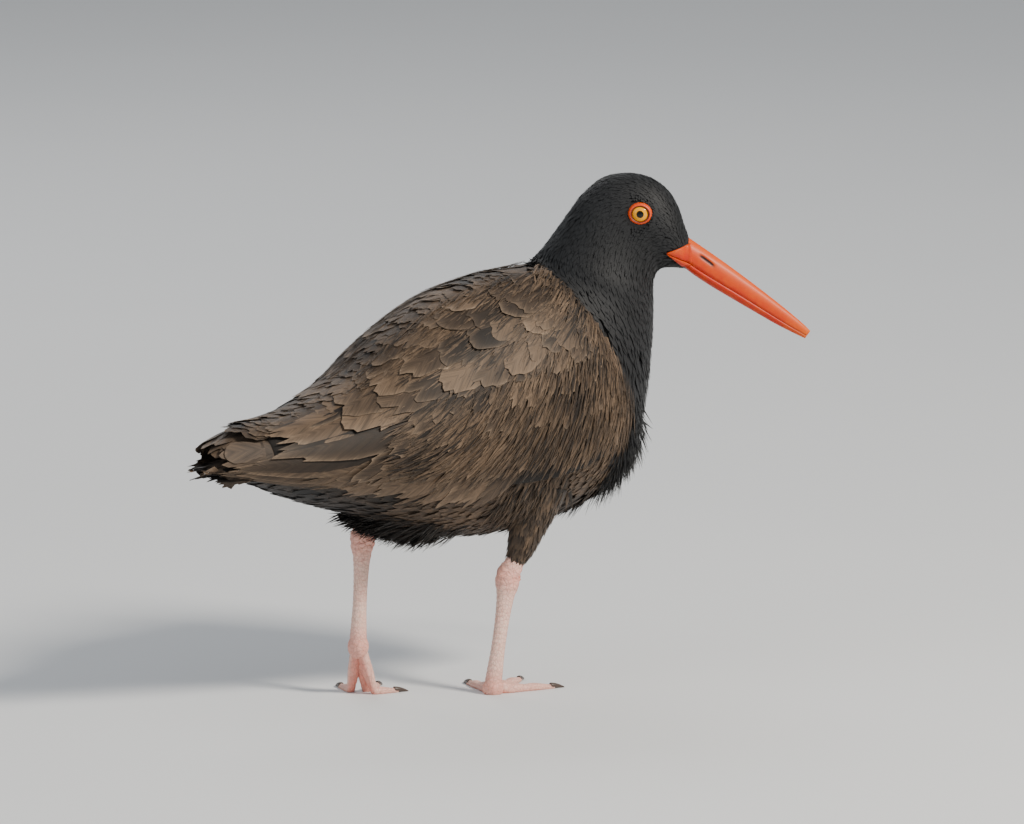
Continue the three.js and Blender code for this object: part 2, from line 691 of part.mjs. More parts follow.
function toeSolid(leg, toe) {
  const rows = toeSwell.map(([share]) => {
    const radius = toeRadius(toe, share);
    return [toePlace(leg, toe, share), radius, radius * toeDepth];
  });
  return loft(onFloor(limb(rows, toeAxes(leg, toe).across, 8)));
}

function ballSolid(leg) {
  const rows = [
    [-4.6, -1.6, -1.6, 2.2, 2.6],
    [-2.2, -0.8, -0.6, 4.8, 4.4],
    [1.6, 0.6, -1, 5, 4.2],
    [5, 2, -1.6, 3.2, 2.8],
  ].map(([x, y, z, halfWidth, halfDepth]) => [
    leg.ball.clone().add(new THREE.Vector3(x, y, z)),
    halfWidth,
    halfDepth,
  ]);
  return loft(onFloor(limb(rows, sideways, 12)));
}

function webSolid(leg, i) {
  const [a, b] = [toePlan[i], toePlan[i + 1]].map((toe) => (share) => toePlace(leg, toe, share));
  const corners = [a(0.04).lerp(b(0.04), 0.5), a(webs[i].reach), b(webs[i].reach)];
  const sheet = (rise) => corners.map((p) => p.clone().setZ(Math.max(p.z + rise, floorClearance)));
  const sides = [[0, 1, 2], [3, 5, 4], [0, 3, 4], [0, 4, 1], [1, 4, 5], [1, 5, 2], [2, 5, 3], [2, 3, 0]];
  return solidFrom([...sheet(webThickness / 2), ...sheet(-webThickness / 2)], sides);
}

function foot(leg) {
  const toes = toePlan.map((toe) => toeSolid(leg, toe));
  return largestPiece(joined([ballSolid(leg), ...toes, ...webs.map((_, i) => webSolid(leg, i))]));
}

// Each row of a claw is its reach beyond the toe's tip, its rise above it, and its radius.
function claw(leg, toe) {
  const { ahead, across } = toeAxes(leg, toe);
  const tip = toePlace(leg, toe, 1);
  const rows = [
    [-1.5, 0.6, 1.25],
    [1.5, 0.7, 1.2],
    [4, 0.3, 0.8],
    [5.8, -0.6, 0.35],
  ].map(([reach, rise, radius]) => [
    tip.clone().addScaledVector(ahead, reach).setZ(Math.max(tip.z + rise, radius + floorClearance)),
    radius,
    radius,
  ]);
  return loft(limb(rows, across, 6));
}

// The bird, put together
const bird = new THREE.Group();
bird.position.set(-rightSole.x, -rightSole.y, 0);

function addNode(name, solid, material) {
  const mesh = new THREE.Mesh(geometryOf(solid), material);
  mesh.name = name;
  bird.add(mesh);
}

addNode("torso", torso, plumageBrown);
addNode("neck", neck, plumageBlack);
addNode("head", head, plumageBlack);
addNode("bill_upper", billUpper, billRed);
addNode("bill_lower", largestPiece(billLower), billRed);
addNode("tail", largestPiece(tail), plumageBrown);
const grownTorso = grown(torso);
const grownNeck = grown(neck);
const grownTail = grown(tail);

const thighs = {};
for (const [name, leg] of Object.entries(legs)) {
  const footSolid = foot(leg);
  const grownFoot = grown(footSolid);
  const bare = bareLeg(leg);
  thighs[name] = largestPiece(thigh(leg).subtract(grownTorso).subtract(grown(bare)));
  addNode(`foot_${name}`, footSolid, legPink);
  addNode(`leg_${name}`, largestPiece(bare.subtract(grownFoot).subtract(grownTorso)), legPink);
  addNode(`thigh_${name}`, thighs[name], plumageBrown);
  for (const toe of toePlan) {
    addNode(`claw_${name}_${toe.name}`, largestPiece(claw(leg, toe).subtract(grownFoot)), clawHorn);
  }
}

for (const [name, side] of [["left", 1], ["right", -1]]) {
  addNode(`eye_${name}`, eyeball(side), eyeYellow);
  addNode(`eyelid_${name}`, lidRing(side), ringRed);
  const feathers = wingTiers.flat().map((shape) => vane(wingRows, side, shape));
  const neighbours = joined([grownTorso, grownNeck, grownTail, grown(thighs[name])]);
  const wing = joined([wingCore(side), ...feathers]).subtract(neighbours);
  addNode(`wing_${name}`, largestPiece(wing), plumageBrown);
}

export default bird;
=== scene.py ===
# A walking black oystercatcher, life size, on a plain pale floor.
import math
import time
import bpy
import numpy as np
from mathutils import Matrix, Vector


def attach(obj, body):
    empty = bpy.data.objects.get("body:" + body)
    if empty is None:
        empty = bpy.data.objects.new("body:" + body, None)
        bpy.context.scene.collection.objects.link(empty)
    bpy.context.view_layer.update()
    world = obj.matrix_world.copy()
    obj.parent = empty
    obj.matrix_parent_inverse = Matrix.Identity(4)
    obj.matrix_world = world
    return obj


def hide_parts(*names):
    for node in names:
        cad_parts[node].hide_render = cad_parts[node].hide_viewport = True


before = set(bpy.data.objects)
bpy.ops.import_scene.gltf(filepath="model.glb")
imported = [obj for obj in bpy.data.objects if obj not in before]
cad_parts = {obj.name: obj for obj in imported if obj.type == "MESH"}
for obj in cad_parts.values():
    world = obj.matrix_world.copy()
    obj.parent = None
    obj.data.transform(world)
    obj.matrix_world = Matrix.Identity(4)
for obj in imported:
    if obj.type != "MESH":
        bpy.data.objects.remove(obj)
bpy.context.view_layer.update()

started = time.time()


def note(text):
    print(text, round(time.time() - started, 1))


mm = 0.001
footShift = np.array([-11.9, 18.0, 0.0])  # from body places to the row frame
headTurn = math.radians(-38)
neckPivot = 78.0
sectionFullness = 0.94
tau = 2 * math.pi

# The body as a tube of sections: station, top (x, z), bottom (x, z), half width, share of the head's turn
bodyRows = [
    [-138, -138, 123, -138, 118.5, 11, 0], [-128, -128, 126, -128, 115, 14, 0],
    [-115, -116, 130, -115, 110.5, 17, 0], [-101, -102, 134, -100, 104, 20.5, 0],
    [-88, -90, 141, -86, 99, 23, 0], [-62, -62, 153, -60, 91, 31, 0],
    [-40, -40, 169.5, -38, 82, 37, 0], [-10, -10, 186.5, -8, 76, 42, 0],
    [20, 20, 195, 22, 74.5, 44, 0], [47, 42, 198.5, 52, 78, 44, 0],
    [67, 50, 199, 82, 88, 43, 0.05], [80, 53, 200, 100, 104, 40, 0.2],
    [92, 55, 201.5, 109, 128, 36, 0.4], [104, 57, 203, 113, 155, 32, 0.65],
    [114, 59, 205, 114, 173, 28.5, 0.85], [124, 62, 209, 114, 184, 26, 1],
    [134, 66.5, 215, 114, 191, 23, 1], [144, 73.5, 225, 115.5, 195.5, 20, 1],
    [154, 80.5, 234, 118, 197.2, 18, 1], [164, 90.5, 241.5, 120.5, 197.7, 16.8, 1],
    [174, 102.5, 243.2, 123, 197.5, 16, 1], [184, 113.5, 240.5, 125.5, 197.2, 14.4, 1],
    [194, 121.5, 234, 127.5, 197, 12.2, 1], [204, 126, 226, 128.6, 196.8, 9.8, 1],
    [212, 128.4, 218.5, 129, 196.6, 7.9, 1], [220, 130.8, 211.9, 129.2, 196.8, 6.6, 1],
]
# The closed wings lie on a second tube, a little outside the first
wingRows = [
    [-160, -160, 134.5, -160, 113, 8, 0], [-150, -150, 137, -150, 111.5, 13, 0],
    [-130, -130, 140.5, -130, 108.5, 19, 0], [-110, -110, 142, -110, 104.5, 25, 0],
    [-88, -90, 146.5, -88, 99.5, 31, 0], [-62, -62, 158.5, -60, 93, 37.5, 0],
    [-40, -40, 175, -38, 84, 42.5, 0], [-10, -10, 191, -8, 77, 47, 0],
    [20, 20, 198.5, 22, 75, 49, 0], [47, 42, 200.5, 52, 78, 48.5, 0],
    [67, 50, 201.5, 82, 88, 46, 0.05], [80, 53, 201.5, 100, 104, 41.5, 0.2],
    [92, 55, 202.5, 109, 128, 36.8, 0.4],
]


# Hermite curves through the rows, read at every quarter of a station. Slopes are those between the
# neighbouring rows, and past both ends the curves run straight on.
def fineTable(rows):
    rows = np.array(rows, float)
    k, values = rows[:, 0], rows[:, 1:]
    slopes = np.empty_like(values)
    slopes[1:-1] = (values[2:] - values[:-2]) / (k[2:] - k[:-2])[:, None]
    slopes[0] = (values[1] - values[0]) / (k[1] - k[0])
    slopes[-1] = (values[-1] - values[-2]) / (k[-1] - k[-2])
    fine = np.arange(k[0], k[-1] + 0.01, 0.25)
    i = np.clip(np.searchsorted(k, fine, side="right") - 1, 0, len(k) - 2)
    span = (k[i + 1] - k[i])[:, None]
    f = ((fine - k[i])[:, None]) / span
    read = (values[i] * (1 + 2 * f) * (1 - f) ** 2 + slopes[i] * span * f * (1 - f) ** 2
            + values[i + 1] * f * f * (3 - 2 * f) + slopes[i + 1] * span * f * f * (f - 1))
    ends = 60.0
    fine = np.concatenate([[fine[0] - ends], fine, [fine[-1] + ends]])
    return fine, np.concatenate([[read[0] - slopes[0] * ends], read, [read[-1] + slopes[-1] * ends]])


# A table's columns at a station, straight between its fine rows
def readRows(table, k):
    return [np.interp(k, table[0], table[1][:, c]) for c in range(table[1].shape[1])]


# A place turned about the upright line through the neck by a share of the head's turn
def turned(x, y, z, share=1.0):
    angle = headTurn * share
    ahead = x - neckPivot
    return np.stack([neckPivot + ahead * np.cos(angle) - y * np.sin(angle),
                     ahead * np.sin(angle) + y * np.cos(angle), z + 0 * ahead], -1)


# A surface is a function of station and theta: theta 0 is the top, half a turn the bottom, positive to the
# left. Height follows the cosine from bottom to top, and width the sine, made a little fuller.
def tubeSurface(table):
    def surface(k, theta):
        topX, topZ, lowX, lowZ, halfWidth, turn = readRows(table, k)
        share = (1 + np.cos(theta)) / 2
        aside = halfWidth * np.sign(np.sin(theta)) * np.abs(np.sin(theta)) ** sectionFullness
        return turned(lowX + (topX - lowX) * share, aside, lowZ + (topZ - lowZ) * share, turn)
    return surface


bodyTable, wingTable = fineTable(bodyRows), fineTable(wingRows)
bodySurface, wingSurface = tubeSurface(bodyTable), tubeSurface(wingTable)


# Vectors divided by their lengths
def unit(v):
    return v / np.maximum(np.linalg.norm(v, axis=-1, keepdims=True), 1e-9)


# Place, both tangents and the outward normal, from central differences
def frameAt(surface, k, theta, stepK=0.6, stepT=0.02):
    along = (surface(k + stepK, theta) - surface(k - stepK, theta)) / (2 * stepK)
    round_ = (surface(k, theta + stepT) - surface(k, theta - stepT)) / (2 * stepT)
    return surface(k, theta), along, round_, unit(np.cross(along, round_))


# The step in station and theta that moves a place by a tangent vector: the two linear equations of its
# lengths along both tangents
def stepFor(along, round_, move):
    e, f, g = (along * along).sum(-1), (along * round_).sum(-1), (round_ * round_).sum(-1)
    a, b = (move * along).sum(-1), (move * round_).sum(-1)
    det = np.maximum(e * g - f * f, 1e-6)
    return (a * g - b * f) / det, (b * e - a * f) / det


# A soft step from 0 at low to 1 at high
def smooth(x, low, high):
    f = np.clip((x - low) / (high - low), 0, 1)
    return f * f * (3 - 2 * f)


# Meshes from whole arrays, with places in body millimetres
def makeMesh(name, places, quads, tris=(), normals=None, attributes=None, loopUv=None, vertexUv=None):
    mesh = bpy.data.meshes.new(name)
    tris = np.array(tris, int).reshape(-1, 3)
    quads = np.array(quads, int).reshape(-1, 4)
    loops = np.concatenate([quads.ravel(), tris.ravel()])
    starts = np.concatenate([np.arange(len(quads)) * 4, len(quads) * 4 + np.arange(len(tris)) * 3])
    mesh.vertices.add(len(places))
    mesh.vertices.foreach_set("co", ((places + footShift) * mm).astype(np.float32).ravel())
    mesh.loops.add(len(loops))
    mesh.loops.foreach_set("vertex_index", loops.astype(np.int32))
    mesh.polygons.add(len(starts))
    mesh.polygons.foreach_set("loop_start", starts.astype(np.int32))
    mesh.polygons.foreach_set("use_smooth", np.ones(len(starts), bool))
    for key, values in (attributes or {}).items():
        layer = mesh.attributes.new(key, "FLOAT", "POINT")
        layer.data.foreach_set("value", np.broadcast_to(values, (len(places),)).astype(np.float32))
    if loopUv is not None or vertexUv is not None:
        uv = loopUv if loopUv is not None else vertexUv[loops]
        mesh.uv_layers.new(name="OFBake").data.foreach_set("uv", uv.astype(np.float32).ravel())
    mesh.update(calc_edges=True)
    if normals is not None:
        mesh.normals_split_custom_set_from_vertices(normals.astype(np.float32))
    return mesh


# Ties a piece to the imported body and hides its solids
def markPiece(piece, slotName, nodes):
    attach(piece, "root")
    if nodes:
        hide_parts(*nodes)


def addObject(name, data):
    added = bpy.data.objects.new(name, data)
    bpy.context.scene.collection.objects.link(added)
    return added


def addPiece(name, mesh, material, slotName, nodes=(), levels=0):
    piece = addObject(name, mesh)
    mesh.materials.append(material)
    if levels:
        finer = piece.modifiers.new("finer", "SUBSURF")
        finer.levels = finer.render_levels = levels
    markPiece(piece, slotName, nodes)


# A grid of rings, closed round each ring and by a fan at both ends. Its map gives across and along the
# grid.
def ringMesh(name, rings, attributes=None, uv=True):
    count, around = rings.shape[:2]
    j, c = np.meshgrid(np.arange(count - 1), np.arange(around), indexing="ij")
    j, c = j.ravel(), c.ravel()
    nextC = (c + 1) % around
    quads = np.stack([j * around + c, j * around + nextC, (j + 1) * around + nextC, (j + 1) * around + c], 1)
    total = count * around
    first, last = rings[0].mean(0), rings[-1].mean(0)
    places = np.concatenate([rings.reshape(-1, 3), [first, last]])
    ring = np.arange(around)
    follow = (ring + 1) % around
    tris = np.concatenate([np.stack([follow, ring, np.full(around, total)], 1),
                           np.stack([ring + total - around, follow + total - around,
                                     np.full(around, total + 1)], 1)])
    # The rings must run so that faces look outwards
    a, b, d = places[quads[:, 0]], places[quads[:, 1]], places[quads[:, 3]]
    middle = rings.mean(1)[j]
    if (np.cross(b - a, d - a) * (a - middle)).sum() < 0:
        quads, tris = quads[:, ::-1], tris[:, ::-1]
    if attributes:
        attributes = {key: np.concatenate([v.ravel(), [v[0].mean(), v[-1].mean()]])
                      for key, v in attributes.items()}
    loopUv = None
    if uv:
        across, along = c / around, j / (count - 1)
        stepA, stepJ = 1 / around, 1 / (count - 1)
        corner = np.stack([np.stack([across + stepA * a, along + stepJ * b], 1)
                           for a, b in ((0, 0), (1, 0), (1, 1), (0, 1))], 1)
        if quads[0, 0] != 0:
            corner = corner[:, ::-1]
        cap = np.zeros((len(tris), 3, 2))
        cap[:around, :, 0] = (ring / around)[:, None]
        cap[around:, :, 0] = (ring / around)[:, None]
        cap[around:, :, 1] = 1
        loopUv = np.concatenate([corner.reshape(-1, 2), cap.reshape(-1, 2)])
    return makeMesh(name, places, quads, tris, attributes=attributes, loopUv=loopUv)


# A material in the making: each function adds a node and gives back its output, and put feeds the surface's
# inputs
class Look:
    def __init__(self, name):
        self.material = bpy.data.materials.new(name)
        self.material.use_nodes = True
        self.nodes, self.links = self.material.node_tree.nodes, self.material.node_tree.links
        self.surface = self.nodes["Principled BSDF"]

    def feed(self, socket, value):
        if isinstance(value, bpy.types.NodeSocket):
            self.links.new(value, socket)
        else:
            socket.default_value = (*value, 1) if socket.type == "RGBA" else value

    def put(self, inputs):
        for name, value in inputs.items():
            self.feed(self.surface.inputs[name], value)

    def attribute(self, name):
        node = self.nodes.new("ShaderNodeAttribute")
        node.attribute_name = name
        return node.outputs["Fac"]

    def calc(self, operation, *inputs, clamp=False):
        node = self.nodes.new("ShaderNodeMath")
        node.operation = operation
        node.use_clamp = clamp
        for socket, value in zip(node.inputs, inputs):
            self.feed(socket, value)
        return node.outputs[0]

    # A share that rises from 0 where the value passes start, by gain for each unit, and stops at 1
    def above(self, value, start, gain):
        return self.calc("MULTIPLY", self.calc("SUBTRACT", value, start), gain, clamp=True)

    def mix(self, share, a, b):
        node = self.nodes.new("ShaderNodeMix")
        node.data_type = "RGBA"
        self.feed(node.inputs["Factor"], share)
        for key, value in (("A", a), ("B", b)):
            self.feed(next(s for s in node.inputs if s.name == key and s.type == "RGBA"), value)
        return next(s for s in node.outputs if s.type == "RGBA")

    # A colour with others laid over it in turn, each by its share
    def layers(self, base, *shares):
        for share, colour in shares:
            base = self.mix(share, base, colour)
        return base

    def vector(self, x, y, z):
        node = self.nodes.new("ShaderNodeCombineXYZ")
        for socket, value in zip(node.inputs, (x, y, z)):
            self.feed(socket, value)
        return node.outputs[0]

    # Noise at a vector, or at the place on the object
    def noise(self, vector, scale, detail=3, roughness=0.55):
        node = self.nodes.new("ShaderNodeTexNoise")
        place = vector or self.nodes.new("ShaderNodeTexCoord").outputs["Object"]
        self.links.new(place, node.inputs["Vector"])
        for name, value in (("Scale", scale), ("Detail", detail), ("Roughness", roughness)):
            node.inputs[name].default_value = value
        return node.outputs["Fac"]

    def bump(self, height, strength, distance):
        node = self.nodes.new("ShaderNodeBump")
        node.inputs["Strength"].default_value = strength
        node.inputs["Distance"].default_value = distance
        self.links.new(height, node.inputs["Height"])
        return node.outputs[0]


plumageLook = {
    "slate": (0.011, 0.0115, 0.0125), "slateLight": (0.047, 0.048, 0.051),
    "brown": (0.012, 0.0085, 0.0065), "brownLight": (0.155, 0.102, 0.064), "worn": (0.30, 0.215, 0.145),
    "slateDark": (0.006, 0.006, 0.0065), "brownDark": (0.010, 0.007, 0.005),
    "barbSlope": 0.45, "barbsPerMm": 2.6, "broadPerMm": 0.5, "rimPower": 8.0, "tipPower": 14.0,
}


# Feathers: barbs slant out from the shaft, edges and tips are worn paler, and each feather has its own
# tone. The barb's number is the distance from the shaft less a share of the distance from the root, and
# drives both noises.
def plumageMaterial(colours):
    look = Look("plumage")
    calc = look.calc
    along, aside, share, edge, tone, brown, wear = (look.attribute(key) for key in vaneKeys)
    barb = calc("SUBTRACT", calc("ABSOLUTE", aside), calc("MULTIPLY", along, colours["barbSlope"]))
    fine, broad = (look.noise(look.vector(calc("MULTIPLY", barb, perMm), calc("MULTIPLY", along, drift),
                                          calc("MULTIPLY", tone, spread)), 1.0, detail, roughness)
                   for perMm, drift, spread, detail, roughness in (
                       (colours["barbsPerMm"], 0.07, 41, 4, 0.7), (colours["broadPerMm"], 0.05, 17, 2, 0.55)))
    streak = look.above(fine, 0.3, 1.9)
    slateShare = calc("MULTIPLY", streak, calc("ADD", 0.25, calc("MULTIPLY", tone, 0.55)), clamp=True)
    slate = look.mix(slateShare, colours["slate"], colours["slateLight"])
    grain = calc("ADD", calc("MULTIPLY", streak, 0.6), calc("SUBTRACT", broad, 0.3))
    paleness = calc("ADD", calc("MULTIPLY", share, 0.45), calc("SUBTRACT", calc("MULTIPLY", tone, 1.9), 0.35))
    warm = look.mix(calc("MULTIPLY", grain, paleness, clamp=True), colours["brown"], colours["brownLight"])
    outline = calc("ADD", calc("POWER", calc("ABSOLUTE", edge), colours["rimPower"]),
                   calc("POWER", share, colours["tipPower"]))
    worn = calc("MULTIPLY", calc("MULTIPLY", outline, wear), calc("ADD", 0.1, streak), clamp=True)
    warm = look.mix(worn, warm, colours["worn"])
    look.put({"Base Color": look.mix(brown, slate, warm), "Specular IOR Level": 0.25,
              "Roughness": calc("ADD", 0.5, calc("MULTIPLY", streak, 0.2)),
              "Sheen Weight": 0.05, "Sheen Roughness": 0.4,
              "Normal": look.bump(fine, 0.5, 0.00025)})
    return look.material


# Skin under the coat: the coat's colours without its barbs, mottled by a fine noise
def skinMaterial(colours):
    look = Look("underCoat")
    grain = look.noise(None, 900, 3)
    dark = look.mix(grain, colours["slate"], colours["slateDark"])
    warm = look.mix(grain, colours["brown"], colours["brownDark"])
    look.put({"Base Color": look.mix(look.attribute("brown"), dark, warm), "Roughness": 0.9,
              "Normal": look.bump(grain, 0.5, 0.0004)})
    return look.material


vaneKeys = ("vaneAlong", "vaneAside", "vaneShare", "vaneEdge", "tone", "brown", "wear")
plumage = plumageMaterial(plumageLook)
underCoat = skinMaterial(plumageLook)
note("materials ready")


# How brown the coat is at a place of the body: black head, neck and breast, brown back, and less brown,
# so darker, under the rear body and along the belly's bottom, which is painted shade under the body. It is
# a product of soft steps, along the station at the breast and behind, and round the section at the belly.
def brownAt(k, theta):
    around = np.abs(theta)
    front = 1 - smooth(k, 84 - 10 * smooth(around, 1.9, 2.4), 98 - 14 * smooth(around, 1.9, 2.4))
    # Painted shade: the coat turns less brown and darker at the vent and along the belly's bottom
    vent = smooth(-k, 25, 75) * smooth(around, 1.7, 2.2)
    return front * (1 - 0.75 * vent) * (1 - 0.35 * smooth(around, 2.5, 2.9))


# Neighbouring feathers share much of their tone: three crossed waves over the surface, with some chance
def patchTone(k, theta, rng, chance=0.3):
    waves = (0.5 + 0.2 * np.sin(0.085 * k + 2.3 * theta + 1.0) + 0.16 * np.sin(0.19 * k - 3.1 * theta)
             + 0.12 * np.sin(0.05 * k + 7.3 * theta + 2.0))
    return np.clip(waves + chance * (rng.random(np.shape(k)) - 0.5) * 2, 0, 1)


# How deep the coat is at a station, straight between named depths
def coatDepth(k):
    return np.interp(k, [-138, -88, 67, 104, 140, 174, 205, 220], [0.8, 2.0, 2.6, 2.4, 1.8, 1.2, 0.7, 0.1])


# A grid of places over a surface, lifted off it by a function of the station
def offsetGrid(surface, stations, angles, lift):
    k, theta = np.meshgrid(stations, angles, indexing="ij")
    place, _, _, normal = frameAt(surface, k, theta)
    return place + normal * lift(k)[..., None], k, theta


# Skin: one closed tube from the tail's core to the bill, inside the coat by its depth
skinStations = np.concatenate([np.arange(-138, 104, 4), np.arange(104, 220.1, 2)])
skinRings, skinK, skinTheta = offsetGrid(bodySurface, skinStations, np.arange(96) / 96 * tau - math.pi,
                                         lambda k: -coatDepth(k))
skinMesh = ringMesh("skin", skinRings, {"brown": brownAt(skinK, skinTheta)})
addPiece("skin", skinMesh, underCoat, "plumage_brown", ("torso", "neck", "head"))
note("skin made")


# A limb's surface: sections square to a path, with half width and half depth; station is millimetres along
# it
def limbSurface(places, halfWidths, halfDepths):
    places = np.array(places, float)
    lengths = np.concatenate([[0], np.cumsum(np.linalg.norm(np.diff(places, axis=0), axis=1))])
    table = fineTable(np.column_stack([lengths, places, halfWidths, halfDepths]))

    def surface(k, theta):
        x, y, z, wide, deep = readRows(table, k)
        before, after = (np.stack(readRows(table, k + step)[:3], -1) for step in (-1.5, 1.5))
        path = unit(after - before)
        side = unit(np.stack([-path[..., 1] * path[..., 0], 1 - path[..., 1] ** 2,
                              -path[..., 1] * path[..., 2]], -1))
        front = np.cross(path, side)
        return (np.stack([x, y, z], -1) + side * (wide * np.sin(theta))[..., None]
                + front * (deep * np.cos(theta))[..., None])
    return surface, lengths[-1]


# Paths run from each root in steps, turned from straight back by the heading, and always along the surface.
# Straight back is the surface's own way back, or the level way back if a plan says so. The bend is the
# surface's curve across the path, from how far it falls off at a probe on each side.
probe = 3.0


def growPaths(surface, k, theta, heading, length, steps, level):
    k, theta = k.copy(), theta.copy()
    side = np.where(theta < 0, -1.0, 1.0)[:, None]
    angle = np.radians(heading)[:, None]
    rows = []
    for j in range(steps + 1):
        place, along, round_, normal = frameAt(surface, k, theta)
        back, down = -along, round_ * side
        if level:
            back, down = np.array([[-1.0, 0, 0]]), side * [0, 0.6, 0] + [0, 0, -1]
            back = back - (back * normal).sum(-1, keepdims=True) * normal
            down = down - (down * normal).sum(-1, keepdims=True) * normal
        back = unit(back)
        down = unit(down - (down * back).sum(-1, keepdims=True) * back)
        ahead = np.cos(angle) * back + np.sin(angle) * down
        across = np.cross(normal, ahead)
        bend = 0
        for way in (-1, 1):
            dk, dt = stepFor(along, round_, across * way * probe)
            bend = bend + ((surface(k + dk, theta + dt) - place) * normal).sum(-1)
        rows.append((place, normal, ahead, across, -bend / probe ** 2))
        dk, dt = stepFor(along, round_, ahead)
        k, theta = k + dk * length / steps, theta + dt * length / steps
    return [np.stack(column) for column in zip(*rows)]


# One closed thin blade a feather. Each row is a share of the path and each column a share of the width: the
# outer columns end sooner, which rounds the tip, and each column ends a little early by chance, which frays
# it. Some columns end much sooner, which splits the vane. The blade rises from its root's lift to its
# tip's, is crowned by its camber and follows the surface's bend to both sides.
splitChance = 0.14
vaneDefaults = {"roundPower": 2.0, "splits": 0, "risePower": 1.3, "shaft": 1.0, "soft": 0, "level": False}


def growVanes(name, surface, spec, plan, uvOf):
    plan = {**vaneDefaults, **plan}
    rng = np.random.default_rng(plan["seed"])
    count = len(spec["k"])
    nu, nv = plan["rows"], plan["columns"]

    def field(key, default=0.0):
        return np.broadcast_to(np.asarray(spec.get(key, default), float), (count,))

    def columnField(key, default=0.0):
        return field(key, default)[None, :, None]

    length = field("length")
    steps = nu - 1
    place, normal, _, across, bend = growPaths(surface, field("k"), field("theta"), field("heading"), length,
                                               steps, plan["level"])
    column = np.linspace(-1, 1, nv)
    ends = 1 - plan["round"] * np.abs(column) ** plan["roundPower"]
    ends = ends[None] * (1 - field("fray")[:, None] * rng.random((count, nv)))
    ends = ends * (1 - plan["splits"] * (rng.random((count, nv)) < splitChance) * rng.random((count, nv)))
    share = np.linspace(0, 1, nu)[:, None, None] * ends[None]  # rows, feathers, columns
    at = np.clip(share * steps, 0, steps - 1e-6)
    low = at.astype(int)
    part = (at - low)[..., None]
    which = np.arange(count)[None, :, None]

    def along(values):
        values = values if values.ndim == 3 else values[..., None]
        return values[low, which] * (1 - part) + values[low + 1, which] * part

    spread = plan["rootWidth"] + (1 - plan["rootWidth"]) * smooth(share, 0, 0.45)
    spread = spread * (1 - plan["taper"] * smooth(share, 0.5, 1.0))
    jag = 1 - columnField("fray") * 0.5 * rng.random(share.shape) * (np.abs(column) > 0.7)
    t = column * spread * jag * columnField("width") / 2
    rise = share ** plan["risePower"]
    lift = columnField("rootLift") * (1 - rise) + columnField("tipLift") * rise
    lift = lift + plan["camber"] * columnField("width") * (1 - column ** 2) * smooth(share, 0, 0.3)
    lift = lift + columnField("tilt") * t + 0.12 * (np.abs(column) < 0.01) * plan["shaft"]
    curve = along(bend)[..., 0] * t * t / 2
    n, s, p = along(normal), along(across), along(place)
    top = p + s * t[..., None] + n * (lift - curve)[..., None]
    thin = plan["thickness"] * (1 - 0.6 * np.abs(column) ** 2) * (1 - 0.5 * share)
    under = top - n * thin[..., None]
    slope = columnField("tilt") - 4 * plan["camber"] * column - along(bend)[..., 0] * t
    face = unit(n - s * (slope * (1 - plan["soft"]))[..., None])

    # Feathers come first, then top and underside, rows and columns, in one list
    def pack(a, b):
        order = (2, 0, 1, 3, *range(4, a.ndim + 1))
        return np.stack([a, b]).transpose(*order).reshape(-1, *a.shape[3:])

    places, normals = pack(top, under), pack(face, -face)
    each = 2 * nu * nv
    cell = np.arange(nu * nv).reshape(nu, nv)
    a, b, c, d = cell[:-1, :-1], cell[1:, :-1], cell[1:, 1:], cell[:-1, 1:]
    upper = np.stack([a, b, c, d], -1).reshape(-1, 4)
    lower = upper[:, ::-1] + nu * nv
    rim = np.concatenate([cell[0, :-1], cell[:-1, -1], cell[-1, :0:-1], cell[:0:-1, 0]])
    after = np.roll(rim, -1)
    edge = np.stack([rim, after, after + nu * nv, rim + nu * nv], 1)
    quads = np.concatenate([upper, lower, edge])
    quads = (quads[None] + (np.arange(count) * each)[:, None, None]).reshape(-1, 4)

    full = np.broadcast_to
    shape = share.shape
    values = (share * length[None, :, None], t + 0 * share, share / np.maximum(ends[None], 0.01), column,
              columnField("tone", 0.5), columnField("brown", 1.0), columnField("wear", 0.5))
    attributes = {key: pack(full(value, shape), full(value, shape)) for key, value in zip(vaneKeys, values)}
    rootUv = np.stack(uvOf(field("k"), field("theta")), -1)
    patch = np.stack([full(column, shape) * 0.0012, share * 0.003 - 0.0015], -1) + rootUv[None, :, None]
    return makeMesh(name, places, quads, normals=normals, attributes=attributes, vertexUv=pack(patch, patch))


# Grows the feathers of one region as a piece of their own
def addFeathers(name, surface, spec, plan, uvOf, slotName="plumage_brown", nodes=()):
    addPiece(name, growVanes(name, surface, spec, plan, uvOf), plumage, slotName, nodes)


# Where a root lies on its region's map: round the section across, and along the stations upwards
def bodyUv(k, theta):
    return (theta / tau + 0.5) % 1.0 * 0.99 + 0.005, (k + 138) / 358 * 0.98 + 0.01


